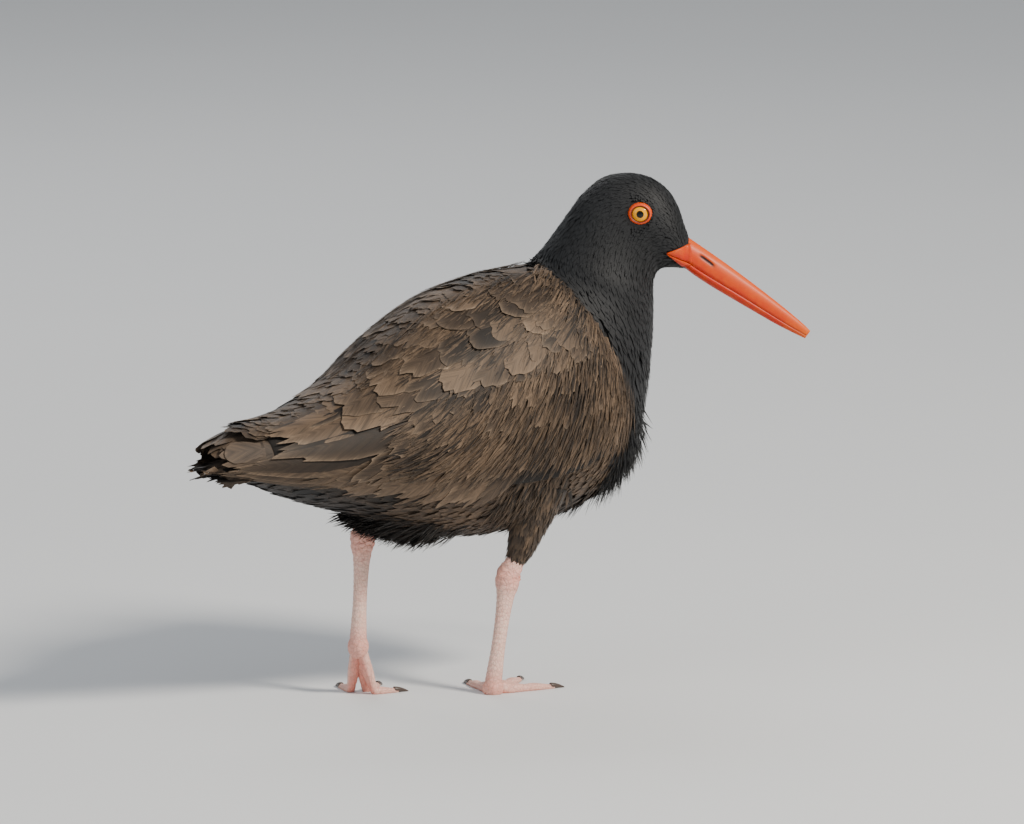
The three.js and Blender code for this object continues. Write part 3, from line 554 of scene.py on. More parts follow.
# Roots spread evenly at a spacing: chance places, more where the surface is larger, kept if none is too
# near
def scatterRoots(surface, kRange, thetaRange, spacing, seed, keep=None):
    rng = np.random.default_rng(seed)
    cells = 160
    kEdge, tEdge = np.linspace(*kRange, cells + 1), np.linspace(*thetaRange, cells + 1)
    k, theta = np.meshgrid((kEdge[1:] + kEdge[:-1]) / 2, (tEdge[1:] + tEdge[:-1]) / 2, indexing="ij")
    _, along, round_, _ = frameAt(surface, k, theta)
    area = np.linalg.norm(np.cross(along, round_), axis=-1) * (kEdge[1] - kEdge[0]) * (tEdge[1] - tEdge[0])
    tries = int(area.sum() / spacing ** 2 * 4)
    pick = rng.choice(area.size, tries, p=area.ravel() / area.sum())
    k = k.ravel()[pick] + (rng.random(tries) - 0.5) * (kEdge[1] - kEdge[0])
    theta = theta.ravel()[pick] + (rng.random(tries) - 0.5) * (tEdge[1] - tEdge[0])
    if keep is not None:
        kept = keep(k, theta)
        k, theta = k[kept], theta[kept]
    places = surface(k, theta)
    keys = np.floor(places / spacing).astype(int)
    filled, chosen = {}, []
    near = [(a, b, c) for a in (-1, 0, 1) for b in (-1, 0, 1) for c in (-1, 0, 1)]
    limit = (spacing * 0.82) ** 2
    for i, (place, key) in enumerate(zip(places.tolist(), keys.tolist())):
        clear = True
        for a, b, c in near:
            for other in filled.get((key[0] + a, key[1] + b, key[2] + c), ()):
                if ((other[0] - place[0]) ** 2 + (other[1] - place[1]) ** 2
                        + (other[2] - place[2]) ** 2) < limit:
                    clear = False
                    break
            if not clear:
                break
        if clear:
            filled.setdefault(tuple(key), []).append(place)
            chosen.append(i)
    return k[chosen], theta[chosen]


# Where the closed wings cover the body: station, upper and lower edge in radians
wingCover = np.array([[-124, 0.25, 1.7], [-88, 0.16, 1.95], [-30, 0.3, 2.0], [0, 0.4, 2.0], [30, 0.55, 2.0],
                      [60, 0.8, 1.95], [78, 1.15, 1.8]])
eyePlace = {"x": 107.2, "z": 225.4, "out": 10.2, "radius": 6.2, "lid": 6.1, "iris": 4.1, "pupil": 1.75}
gapeOutline = np.array([[118.9, 206.0], [125.4, 199.4], [130.5, 197.2], [134, 200], [133, 210.0]])
headFrom = 120  # sections from this station on belong to the head


# A place before the head's turn, seen from the side: between its section's bottom and top by its share of
# the height
def headPlane(k, theta):
    topX, topZ, lowX, lowZ, _, _ = readRows(bodyTable, k)
    share = (1 + np.cos(theta)) / 2
    return lowX + (topX - lowX) * share, lowZ + (topZ - lowZ) * share


# Whether a place lies on the inner side of each of an outline's edges
def insideOutline(x, z, outline):
    inside = np.ones(np.shape(x), bool)
    for a, b in zip(outline, np.roll(outline, -1, axis=0)):
        inside &= (b[0] - a[0]) * (z - a[1]) - (b[1] - a[1]) * (x - a[0]) >= 0
    return inside


# No coat on the back or well under the wings, on the eyelids or at the mouth's corners
def coatKept(k, theta):
    top, low = (np.interp(k, wingCover[:, 0], wingCover[:, c]) for c in (1, 2))
    around = np.abs(theta)
    back = (k > -100) & (k < 58) & (around < 0.8)
    hidden = back | (k > -118) & (k < 70) & (around > top + 0.25) & (around < low - 0.2)
    x, z = headPlane(k, theta)
    eye = np.hypot(x - eyePlace["x"], z - eyePlace["z"]) < eyePlace["lid"] + 0.25
    return ~(hidden | (k > headFrom) & (eye | insideOutline(x, z, gapeOutline)))


coatRegions = [
    {"name": "coatFace", "k": (176, 219.5), "spacing": 1.02, "rows": 4, "columns": 3, "slot": "plumage_black"},
    {"name": "coatCrown", "k": (152, 176), "spacing": 1.15, "rows": 4, "columns": 3, "slot": "plumage_black"},
    {"name": "coatNape", "k": (128, 152), "spacing": 1.4, "rows": 4, "columns": 3, "slot": "plumage_black"},
    {"name": "coatNeck", "k": (104, 128), "spacing": 1.75, "rows": 5, "columns": 3, "slot": "plumage_black"},
    {"name": "coatBreast", "k": (68, 104), "spacing": 2.3, "rows": 5, "columns": 3, "slot": "plumage_brown"},
    {"name": "coatBody", "k": (-20, 68), "spacing": 3.0, "rows": 6, "columns": 5, "slot": "plumage_brown"},
    {"name": "coatVent", "k": (-136, -20), "spacing": 3.4, "rows": 6, "columns": 5, "slot": "plumage_brown"},
]
coatShapes = {"plumage_black": {"camber": 0.03, "thickness": 0.09, "soft": 0.85},
              "plumage_brown": {"camber": 0.06, "thickness": 0.14, "soft": 0.55}}
coatLength = ([-138, -60, 20, 67, 90, 104, 140, 160, 178, 200, 219],
              [18, 21, 21, 17, 13, 11, 8.5, 6.8, 5.4, 4.4, 2.4])
coatWidth = ([-138, 20, 67, 90, 110, 140, 178, 219], [4.2, 4.6, 3.8, 2.6, 2.1, 1.7, 1.25, 1.0])

# Feathers before the eye are short enough to stay off its lid, and the breast's are ruffled
for number, region in enumerate(coatRegions):
    rng = np.random.default_rng(100 + number)
    k, theta = scatterRoots(bodySurface, region["k"], (-math.pi, math.pi), region["spacing"], 20 + number,
                            coatKept)
    n = len(k)
    length = np.interp(k, *coatLength) * rng.uniform(0.8, 1.2, n)
    x, z = headPlane(k, theta)
    fromEye = np.hypot(x - eyePlace["x"], z - eyePlace["z"])
    before = (k > headFrom) & (x > eyePlace["x"] - 3) & (fromEye < 14)
    length = np.where(before, np.minimum(length, np.maximum(1.3, fromEye - eyePlace["lid"] + 0.2)), length)
    brown = brownAt(k, theta) * rng.uniform(0.8, 1.0, n)
    head = smooth(k, 90, 115)
    ruffle = smooth(k, 60, 76) * (1 - smooth(k, 84, 96)) * smooth(np.abs(theta), 1.9, 2.5)
    spec = {
        "k": k, "theta": theta, "length": length,
        "width": np.interp(k, *coatWidth) * rng.uniform(0.8, 1.2, n),
        "heading": rng.normal(0, 6, n) + 10 * (1 - head) * np.sin(0.11 * k + 3 * theta),
        "rootLift": -coatDepth(k) * (0.85 - 0.4 * head) - 0.1,
        "tipLift": rng.uniform(0.0, 0.35, n) * (1 - 0.55 * head) + 1.5 * ruffle * rng.random(n),
        "tilt": rng.normal(0, 0.05, n), "tone": patchTone(k, theta, rng, 0.22) * (1 - 0.4 * head),
        "brown": brown, "wear": rng.uniform(0.0, 0.5, n) * brown, "fray": 0.25,
    }
    plan = {"rows": region["rows"], "columns": region["columns"], "seed": 60 + number, "round": 0.35,
            "rootWidth": 0.7, "taper": 0.45, "shaft": 0.0, **coatShapes[region["slot"]]}
    addFeathers(region["name"], bodySurface, spec, plan, bodyUv, region["slot"])
    note(f"{region['name']} {n} feathers")

# Loose tufts and fringes: station and theta of the middle and how far they spread, then a feather's sizes
# in mm and its heading in degrees
tuftKeys = ("at", "spread", "count", "length", "width", "heading", "lift", "brown", "sides")
tufts = {
    # The breast tuft is black as the breast is, and it and the belly fringe are darker than the coat they hang
    # from, which is painted shade under the wing's bend and under the body
    "breastTuft": ((78, 2.5), (9, 0.32), 1500, 18, 1.5, 24, 8.5, 0.0, (1, -1)),
    "breastWisp": ((62, 2.85), (3, 0.05), 40, 15, 0.9, 30, 6, 0.1, (-1,)),
    "bellyFringe": ((-26, 2.95), (20, 0.3), 1500, 22, 1.3, 20, 10, 0.3, (1, -1)),
    "flankRight": ((26, 2.2), (15, 0.2), 520, 21, 2.2, 58, 5.5, 0.92, (-1,)),
    "flankLeft": ((-18, 2.2), (15, 0.2), 520, 21, 2.2, 52, 5.5, 0.92, (1,)),
    "napeTuft": ((100, 0.0), (4, 0.35), 260, 11, 1.2, 0, 2.6, 0.0, (1, -1)),
}
for number, (name, values) in enumerate(tufts.items()):
    tuft = dict(zip(tuftKeys, values))
    rng = np.random.default_rng(900 + number)
    n, brown = tuft["count"], tuft["brown"]
    side = rng.choice(tuft["sides"], n)
    k, away = (at + np.clip(rng.normal(0, 0.6, n), -1.2, 1.2) * spread
               for at, spread in zip(tuft["at"], tuft["spread"]))
    spec = {"k": k, "theta": np.clip(away, 0, math.pi) * side,
            "length": tuft["length"] * rng.uniform(0.6, 1.15, n),
            "width": tuft["width"] * rng.uniform(0.7, 1.3, n),
            "heading": tuft["heading"] + rng.normal(0, 12, n),
            "rootLift": -1.5, "tipLift": tuft["lift"] * rng.uniform(0.05, 1.0, n),
            "tone": rng.uniform(0, 0.5 + 0.5 * brown, n), "brown": brown, "wear": 0.4 * brown, "fray": 0.3}
    plan = {"rows": 6, "columns": 3, "seed": 950 + number, "round": 0.5, "rootWidth": 0.6, "taper": 0.75,
            "camber": 0.05, "thickness": 0.12, "shaft": 0.0, "risePower": 1.8}
    addFeathers(name, bodySurface, spec, plan, bodyUv, "plumage_black")
note("tufts made")


# Wings: a bed under the feathers, then rows of feathers, each spread evenly between its first and last. A
# bed's row gives a station, its upper and lower edge in degrees and its thickness. A tier gives how many
# feathers, their shape, and the first and last one's numbers, in the order of tierKeys.
wingPlan = {
    "bedRows": [[-120, 7, 108, 2.4], [-88, 4, 116, 3.4], [-60, 4, 119, 4], [-30, 5, 120, 5], [0, 9, 122, 5],
                [30, 17, 122, 5], [60, 32, 120, 5], [82, 56, 110, 4]],
    "tiers": {
        "primaries": (7, "pointed", (-56, 92, 92, 2, 13, -1.8, -0.4), (-66, 120, 84, -1, 11, -2.8, -1.8)),
        "secondaries": (11, "loose", (12, 103, 44, 54, 14, -1.8, -0.6), (-56, 95, 60, 16, 14, -1.6, -0.1)),
        "tertials": (7, "pointed", (-30, 79, 98, 3, 19, -0.9, 0.4), (-54, 17, 74, 1, 19, -0.9, 0.7)),
        "greatCoverts": (18, "loose", (82, 88, 33, 90, 13, -1.2, 0.5), (-46, 88, 44, 26, 16, -1.0, 0.7)),
        "middleCoverts": (16, "loose", (84, 74, 25, 84, 12, -1.0, 0.6), (-36, 76, 36, 26, 16, -0.9, 0.8)),
        "lesserCoverts1": (14, "loose", (84, 63, 22, 76, 12, -0.9, 0.7), (-26, 66, 33, 26, 16, -0.8, 0.9)),
        "lesserCoverts2": (13, "loose", (80, 54, 21, 66, 12, -0.8, 0.8), (-12, 57, 30, 26, 16, -0.7, 1.0)),
        "scapulars1": (9, "rounded", (70, 46, 29, 44, 18, -0.7, 1.0), (-40, 50, 50, 12, 22, -0.6, 1.2)),
        "scapulars2": (8, "rounded", (60, 36, 30, 32, 18, -0.6, 1.1), (-40, 37, 46, 8, 22, -0.5, 1.2)),
        "scapulars3": (8, "rounded", (50, 26, 30, 22, 18, -0.5, 1.1), (-42, 26, 44, 5, 21, -0.5, 1.1)),
        "scapulars4": (8, "rounded", (38, 17, 29, 13, 17, -0.5, 1.0), (-48, 15, 40, 3, 19, -0.5, 1.0)),
    },
}
tierKeys = ("k", "theta", "length", "heading", "width", "rootLift", "tipLift")
featherShapes = {
    "rounded": {"rows": 14, "columns": 11, "round": 0.3, "roundPower": 2.4, "rootWidth": 0.6, "taper": 0.08,
                "camber": 0.02, "thickness": 0.22, "splits": 0.25, "soft": 0.4, "level": True},
    "loose": {"rows": 14, "columns": 13, "round": 0.26, "roundPower": 2.2, "rootWidth": 0.65, "taper": 0.1,
              "camber": 0.02, "thickness": 0.2, "splits": 0.5, "soft": 0.5, "level": True},
    "pointed": {"rows": 18, "columns": 11, "round": 0.16, "roundPower": 1.6, "rootWidth": 0.6, "taper": 0.7,
                "camber": 0.025, "thickness": 0.4, "splits": 0.15, "level": True},
}
sides = (("left", 1), ("right", -1))


# The same map as the body's, over the wings' longer run of stations
def wingUv(k, theta):
    return (theta / tau + 0.5) % 1.0 * 0.99 + 0.005, (k + 170) / 280 * 0.98 + 0.01


# A bed: a slab just under the wing's surface, from edge to edge at each station, thick in the middle and
# thin at both edges
def wingBed(side):
    stations = np.arange(-120, 83, 4.0)
    rows = np.array(wingPlan["bedRows"], float)
    top, low, thick = (np.interp(stations, rows[:, 0], rows[:, c]) for c in (1, 2, 3))
    share = np.linspace(0, 1, 25)
    theta = np.radians(top[:, None] + (low - top)[:, None] * share) * side
    k = np.broadcast_to(stations[:, None], theta.shape)
    place, _, _, normal = frameAt(wingSurface, k, theta)
    edge = 1 - np.abs(2 * share - 1) ** 4
    outer = place + normal * (-1.7 + 0.4 * edge)[None, :, None]
    inner = place - normal * (thick[:, None] * edge + 1.9)[..., None]
    rings = np.concatenate([outer, inner[:, ::-1]], 1)
    return ringMesh("wingBed", rings, {"brown": np.ones(rings.shape[:2])})


for sideName, side in sides:
    addPiece(f"wingBed_{sideName}", wingBed(side), underCoat, "plumage_brown", (f"wing_{sideName}",))
    for number, (tierName, (count, shape, first, last)) in enumerate(wingPlan["tiers"].items()):
        seed = number * 2 + (side > 0)
        rng = np.random.default_rng(300 + seed)
        share = np.linspace(0, 1, count)
        spec = {key: first[i] + (last[i] - first[i]) * share for i, key in enumerate(tierKeys)}
        spec["k"] = spec["k"] + rng.normal(0, 1.0, count)
        spec["theta"] = np.radians(spec["theta"] + rng.normal(0, 0.7, count)) * side
        spec["length"] = spec["length"] * rng.uniform(0.93, 1.07, count)
        spec["heading"] = spec["heading"] + rng.normal(0, 3.0 if shape == "rounded" else 0.8, count)
        spec["tipLift"] = spec["tipLift"] + rng.normal(0, 0.25, count)
        spec["tilt"] = rng.normal(-0.03 * side, 0.03, count)
        spec["tone"] = patchTone(spec["k"], np.abs(spec["theta"]) * 2, rng, 0.35)
        if tierName == "secondaries":
            spec["tone"] = 0.45 + 0.5 * spec["tone"]
        spec["wear"] = rng.uniform(0.2, 1.0, count)
        spec["fray"] = rng.uniform(0.05, 0.14, count) + 0.12 * (shape == "loose")
        plan = dict(featherShapes[shape], seed=400 + seed)
        addFeathers(f"{tierName}_{sideName}", wingSurface, spec, plan, wingUv)


# The way feathers run at a place of the closed wing, in degrees from straight back towards straight down:
# between a high line's heading and a low line's, by a soft step round the section
def wingHeading(k, theta):
    low = np.interp(k, [-60, -40, 20, 74], [6, 28, 60, 84])
    high = np.interp(k, [-60, -30, 40, 74], [6, 16, 30, 50])
    return high + (low - high) * smooth(np.abs(theta), 0.75, 1.25)


# Loose barbs over each closed wing, and small coverts over its bend, dark towards the breast
for sideName, side in sides:
    rng = np.random.default_rng(500 + side)
    k, theta = scatterRoots(wingSurface, (-58, 84), (0.15, 1.95), 2.2, 510 + side)
    n = len(k)
    spec = {"k": k, "theta": theta * side, "length": rng.uniform(9, 19, n), "width": rng.uniform(0.5, 1.2, n),
            "heading": wingHeading(k, theta) + rng.normal(0, 7, n), "rootLift": rng.uniform(0.3, 0.9, n),
            "tipLift": rng.uniform(0.7, 1.6, n) + 0.3 * (theta < 0.8),
            "tone": patchTone(k, 2 * theta, rng, 0.4),
            "brown": 1.0, "wear": rng.uniform(0, 0.8, n), "fray": 0.2}
    plan = {"rows": 6, "columns": 3, "seed": 520 + side, "round": 0.4, "rootWidth": 0.4, "taper": 0.7,
            "camber": 0.04, "thickness": 0.12, "shaft": 0.0, "soft": 0.8, "level": True}
    addFeathers(f"wingBarbs_{sideName}", wingSurface, spec, plan, wingUv)

    k, theta = scatterRoots(wingSurface, (66, 93), (0.1, 1.75), 3.2, 560 + side)
    n = len(k)
    spec = {"k": k, "theta": theta * side, "length": rng.uniform(13, 17, n), "width": rng.uniform(5, 7.5, n),
            "heading": wingHeading(k, theta) + rng.normal(0, 6, n),
            "rootLift": -0.9 - 2.6 * smooth(k, 76, 92), "tipLift": rng.uniform(0.6, 1.1, n),
            "tone": patchTone(k, 2 * theta, rng, 0.3) * 0.75,
            "brown": 1 - smooth(k + rng.normal(0, 2, n), 82, 90),
            "wear": rng.uniform(0, 0.5, n), "fray": 0.2}
    plan = dict(featherShapes["loose"], rows=8, columns=7, seed=570 + side, thickness=0.15, soft=0.7)
    addFeathers(f"bendCoverts_{sideName}", wingSurface, spec, plan, wingUv)

# Mantle: feathers that close the back between the wings
rng = np.random.default_rng(530)
k, theta = scatterRoots(wingSurface, (-112, 76), (-0.42, 0.42), 5.0, 531)
n = len(k)
spec = {"k": k, "theta": theta, "length": rng.uniform(20, 28, n), "width": rng.uniform(10, 14, n),
        "heading": rng.normal(0, 5, n), "rootLift": -1.6, "tipLift": rng.uniform(0.6, 1.2, n),
        "tone": patchTone(k, theta, rng, 0.3) * 0.8, "brown": rng.uniform(0.85, 1.0, n),
        "wear": rng.uniform(0.1, 0.7, n), "fray": 0.14, "tilt": rng.normal(0, 0.02, n)}
plan = dict(featherShapes["loose"], rows=10, columns=9, seed=532, splits=0.3)
addFeathers("mantle", wingSurface, spec, plan, wingUv)

# Rump: feathers that fall from under the wing tips onto the tail
rng = np.random.default_rng(540)
k, theta = scatterRoots(wingSurface, (-126, -94), (-1.3, 1.3), 3.8, 541)
n = len(k)
spec = {"k": k, "theta": theta, "length": rng.uniform(20, 27, n), "width": rng.uniform(8, 12, n),
        "heading": rng.normal(0, 5, n) - 8 * np.abs(theta), "rootLift": -1.8,
        "tipLift": -2 - rng.uniform(2, 11, n) * np.cos(theta), "tone": 0.3 + 0.5 * rng.random(n),
        "brown": rng.uniform(0.7, 1.0, n), "wear": rng.uniform(0.1, 0.6, n), "fray": 0.16}
plan = dict(featherShapes["loose"], rows=10, columns=7, seed=542, splits=0.3)
addFeathers("rump", wingSurface, spec, plan, wingUv)
note("wings made")


# Tail: a shallow roof on which station is x and theta counts millimetres to the side. It falls evenly from
# root to tip, and towards its sides by the square of the way out.
tailPlan = {"root": -97.0, "length": 53.0, "rootZ": 125.0, "tipZ": 116.5, "droop": 2.8, "halfWidth": 18.0,
            "count": 12, "featherLength": 54, "rootsAside": 4.5}


def tailSurface(k, y):
    share = (tailPlan["root"] - k) / tailPlan["length"]
    z = tailPlan["rootZ"] + (tailPlan["tipZ"] - tailPlan["rootZ"]) * share
    z = z - tailPlan["droop"] * (y / tailPlan["halfWidth"]) ** 2 * (0.4 + share)
    return np.stack([k + 0 * y, y + 0 * k, z], -1)


# The tail's map is its plan, scaled
def tailUv(k, y):
    return y / 60 + 0.5, (k + 180) / 130


rng = np.random.default_rng(700)
n = tailPlan["count"]
aside = np.linspace(-1, 1, n)
outer = np.abs(aside)
spec = {"k": np.full(n, tailPlan["root"]), "theta": aside * tailPlan["rootsAside"],
        "length": tailPlan["featherLength"] - 2.5 * outer + rng.normal(0, 0.6, n), "heading": outer * 10.5,
        "width": 12.5, "rootLift": 0.2 - outer * 1.2, "tipLift": 0.9 - outer * 1.6,
        "tone": rng.uniform(0, 0.5, n), "brown": 0.45, "wear": rng.uniform(0.3, 0.6, n), "fray": 0.12}
plan = dict(featherShapes["pointed"], round=0.22, roundPower=2.0, taper=0.35, seed=701)
addFeathers("tailFeathers", tailSurface, spec, plan, tailUv, nodes=("tail",))

# Coverts over the tail's root, and those under it, which are darker as painted shade under the tail
for name, low, high, seed, brown, wear in (("tailCoverts", 0.0, 1.1, 710, 0.65, 0.4),
                                           ("ventCoverts", 2.0, math.pi, 711, 0.2, 0.15)):
    rng = np.random.default_rng(seed)
    halves = [scatterRoots(bodySurface, (-128, -84), (low, high) if side > 0 else (-high, -low), 5.2,
                           seed + side) for _, side in sides]
    k, theta = (np.concatenate(half) for half in zip(*halves))
    n = len(k)
    spec = {"k": k, "theta": theta, "length": rng.uniform(19, 25, n), "width": rng.uniform(8, 10.5, n),
            "heading": rng.normal(0, 4, n), "rootLift": -1.4, "tipLift": rng.uniform(0.2, 0.8, n),
            "tone": rng.random(n), "brown": brown, "wear": wear, "fray": 0.18, "tilt": rng.normal(0, 0.04, n)}
    plan = dict(featherShapes["rounded"], rows=8, columns=7, seed=seed + 5)
    addFeathers(name, bodySurface, spec, plan, bodyUv)
note("tail made")


# Thighs: feathered limbs that sink into the body
thighPlans = {
    "right": {"places": [[24.7, -19.5, 64.6], [26.5, -20.5, 68.6], [32.6, -22.9, 87.9], [36, -24, 100]],
              "radii": [5.4, 6.8, 11.5, 15], "seed": 800},
    "left": {"places": [[-38, 18.6, 82.6], [-36.6, 19.2, 87.2], [-30, 21.1, 100.8], [-26, 22, 108]],
             "radii": [6.2, 8.0, 11.0, 12.5], "seed": 810},
}
for sideName, thigh in thighPlans.items():
    radii = np.array(thigh["radii"])
    surface, reach = limbSurface(thigh["places"], radii * 0.9, radii)
    angles = np.arange(32) / 32 * tau - math.pi
    rings, _, _ = offsetGrid(surface, np.linspace(0, reach, 16), angles, lambda k: 0 * k - 1.2)
    mesh = ringMesh("thighSkin", rings, {"brown": np.full(rings.shape[:2], 0.6)})
    addPiece(f"thighSkin_{sideName}", mesh, underCoat, "plumage_brown", (f"thigh_{sideName}",))
    k, theta = scatterRoots(surface, (1, reach), (-math.pi, math.pi), 1.9, thigh["seed"])
    rng = np.random.default_rng(thigh["seed"])
    n = len(k)
    spec = {"k": k, "theta": theta, "length": np.clip(rng.uniform(8, 14, n), 0, k + 3),
            "width": rng.uniform(1.8, 3, n), "heading": rng.normal(0, 7, n), "rootLift": -1.0,
            "tipLift": rng.uniform(0.1, 0.6, n), "tone": rng.uniform(0.1, 1.0, n),
            "brown": rng.uniform(0.6, 1.0, n), "wear": rng.uniform(0, 0.5, n), "fray": 0.3}
    plan = {"rows": 5, "columns": 3, "seed": thigh["seed"] + 1, "round": 0.4, "rootWidth": 0.6, "taper": 0.5,
            "camber": 0.05, "thickness": 0.14, "shaft": 0.0, "soft": 0.4}
    addFeathers(f"thighCoat_{sideName}", surface, spec, plan,
                lambda a, b, reach=reach: ((b / tau + 0.5) % 1 * 0.99, a / reach * 0.98 + 0.01))
note("thighs made")


# Bill, in the head's plane: station, culmen (x, z), lower edge (x, z), mouth's share of the depth, half
# width
billRows = [
    [0, 131, 211.6, 129, 197.1, 0.28, 6], [1, 138.5, 206.4, 133.5, 193.6, 0.28, 5.5],
    [2, 148, 199.7, 141.5, 188.3, 0.3, 4.8], [3, 158, 192.3, 151.5, 182.3, 0.32, 4.1],
    [4, 168, 184.6, 161.5, 176.4, 0.33, 3.4], [5, 178, 176.6, 172, 170.3, 0.34, 2.7],
    [6, 185.5, 170.1, 180.5, 165.9, 0.35, 2], [7, 188.9, 166.7, 186.3, 163.1, 0.38, 1.4],
]
billTable = fineTable(billRows)
billTip = billRows[-1][0]
billLook = {"along": 150, "around": 22, "mouthGap": 0.22, "nostril": (136.4, 203.6, 142.3, 199.0),
            "nostrilDepth": 0.8, "nostrilHeight": 0.5}


# One half of the bill. Each ring runs from the mouth's edge up to the ridge and back down the other side,
# with more places near both ends. Its width is the root of what a power of the height leaves of one, and
# the nostril is pressed in by a bell curve along and across a slanting line.
def mandible(upper):
    tip = billTip - 0.2 * np.linspace(0.85, 0, 8) ** 1.6
    k = np.concatenate([np.linspace(-0.5, 6.8, billLook["along"]), tip])
    topX, topZ, lowX, lowZ, mouth, half = readRows(billTable, k)
    half = half * (1 - 0.45 * smooth(k, 6.85, billTip))
    sign = 1 if upper else -1
    mouth = mouth + sign * 0.5 * billLook["mouthGap"] / np.hypot(topX - lowX, topZ - lowZ)
    rise = (1 - np.cos(np.linspace(0, math.pi, billLook["around"]))) / 2
    share = np.concatenate([rise, rise[-2:0:-1]])
    way = np.concatenate([np.ones(len(rise)), -np.ones(len(rise) - 2)])
    reach = (1 - mouth if upper else mouth)[:, None]
    height = mouth[:, None] + sign * reach * share[None]
    fullness = np.sqrt(np.maximum(0, 1 - share ** 2.3)) * (0.9 + 0.1 * smooth(share, 0, 0.15))
    aside = half[:, None] * fullness[None] * way[None]
    x = lowX[:, None] + (topX - lowX)[:, None] * height
    z = lowZ[:, None] + (topZ - lowZ)[:, None] * height
    pit = np.zeros(x.shape)
    if upper:
        ax, az, bx, bz = billLook["nostril"]
        middle, run = np.array([(ax + bx) / 2, (az + bz) / 2]), np.array([bx - ax, bz - az])
        span = np.hypot(*run)
        run = run / span
        u = ((x - middle[0]) * run[0] + (z - middle[1]) * run[1]) / (span * 0.55)
        v = (-(x - middle[0]) * run[1] + (z - middle[1]) * run[0]) / billLook["nostrilHeight"]
        pit = np.exp(-(u ** 4) - v ** 2)
        aside = aside - np.sign(aside) * billLook["nostrilDepth"] * pit
    return ringMesh("mandible", turned(x, aside, z), {"billAlong": (k / billTip)[:, None] + 0 * x,
                                                      "billHeight": height, "billPit": pit}, uv=False)


# Horn: yellower towards the ridge, which is painted light on the bill's top, and towards the tip, clouded,
# streaked lengthways, and dark in the nostrils
def billMaterial():
    look = Look("billHorn")
    calc = look.calc
    along, height, pit = (look.attribute(key) for key in ("billAlong", "billHeight", "billPit"))
    cloud = look.noise(None, 260, 4)
    streak = look.noise(look.vector(calc("MULTIPLY", along, 5), calc("MULTIPLY", height, 34), 0.0), 1.0, 3)
    base = look.layers((0.54, 0.022, 0.0),
                       # Painted light: the top of the bill, where light falls, is a paler orange
                       (look.above(height, 0.35, 1.6), (0.68, 0.085, 0.0)),
                       (look.above(along, 0.72, 2.6), (0.66, 0.13, 0.0)),
                       (look.above(cloud, 0.45, 1.3), (0.72, 0.115, 0.0)),
                       (look.above(streak, 0.55, 1.1), (0.62, 0.018, 0.001)),
                       (calc("MULTIPLY", pit, 2.4, clamp=True), (0.03, 0.002, 0.001)))
    look.put({"Base Color": base, "Roughness": calc("ADD", 0.42, calc("MULTIPLY", streak, 0.18)),
              "Specular IOR Level": 0.3, "Coat Weight": 0.08, "Coat Roughness": 0.25,
              "Subsurface Weight": 0.15, "Subsurface Radius": (0.004, 0.001, 0.0005), "Subsurface Scale": 1.0,
              "Normal": look.bump(streak, 0.25, 0.0002)})
    return look.material


# The head's half width where its side passes a place of the head's plane: at the section whose line comes
# nearest to the place at its height
def headHalfWidth(x, z):
    fine = np.linspace(150, 222, 400)
    topX, topZ, lowX, lowZ, wide, _ = readRows(bodyTable, fine)
    flatX, flatZ = np.ravel(x), np.ravel(z)
    share = np.clip((flatZ[:, None] - lowZ) / (topZ - lowZ), 0.001, 0.999)
    best = np.abs(lowX + (topX - lowX) * share - flatX[:, None]).argmin(1)
    theta = np.arccos(2 * share[np.arange(len(best)), best] - 1)
    return (wide[best] * np.sin(theta) ** sectionFullness).reshape(np.shape(x))


# Gape: a thin horn plate on each cheek, spread from the corner of the mouth forwards onto the bill, where
# it goes over from the head's half width to the bill's
gapeFront = {"headEnd": 130.6, "from": 127, "to": 132.5, "billHalfWidth": 5.9}


def gapePlate(corner, low, high, side):
    s, t = np.meshgrid(np.linspace(0.02, 1, 16), np.linspace(0, 1, 9), indexing="ij")
    x, z = (corner[i] + s * (low[i] + (high[i] - low[i]) * t - corner[i]) for i in (0, 1))
    front = smooth(x, gapeFront["from"], gapeFront["to"])
    out = headHalfWidth(np.minimum(x, gapeFront["headEnd"]), z)
    out = out * (1 - front) + gapeFront["billHalfWidth"] * front
    swell = 0.45 * np.sqrt(np.clip(1 - (2 * t - 1) ** 2, 0, 1)) * smooth(s, 0, 0.3)
    outer, inner = turned(x, side * (out + 0.1 + swell), z), turned(x, side * (out - 1.6), z)
    rings = np.concatenate([outer, inner[:, ::-1]], 1)
    height = 0.2 + 0.5 * np.concatenate([t, t[:, ::-1]], 1)
    return rings, {"billAlong": 0 * height, "billHeight": height, "billPit": 0 * height}


billHorn = billMaterial()
addPiece("billUpper", mandible(True), billHorn, "bill_red", ("bill_upper",))
addPiece("billLower", mandible(False), billHorn, "bill_red", ("bill_lower",))
for sideName, side in sides:
    for part, corners in (("Upper", ((119.8, 206.0), (132.2, 199.7), (131.6, 210.0))),
                          ("Lower", ((119.8, 205.7), (127.4, 198.6), (132.0, 199.4)))):
        mesh = ringMesh("gape", *gapePlate(*corners, side), uv=False)
        addPiece(f"gape{part}_{sideName}", mesh, billHorn, "bill_red")
note("bill made")


# A profile of radius and height turned about the line straight out of the head's side through the eye
def lathe(profile, side, around, stretch=(1, 1), waves=(0, 0)):
    radius, height = np.array(profile).T
    angle = np.arange(around) / around * tau
    wide = radius[:, None] * (1 + waves[0] * np.sin(angle * waves[1]))[None]
    x = eyePlace["x"] + wide * np.cos(angle) * stretch[0]
    z = eyePlace["z"] + wide * np.sin(angle) * stretch[1]
    y = side * (eyePlace["out"] + np.broadcast_to(height[:, None], x.shape))
    return turned(x, y, z), np.broadcast_to(radius[:, None], x.shape) + 0, np.broadcast_to(angle, x.shape) + 0


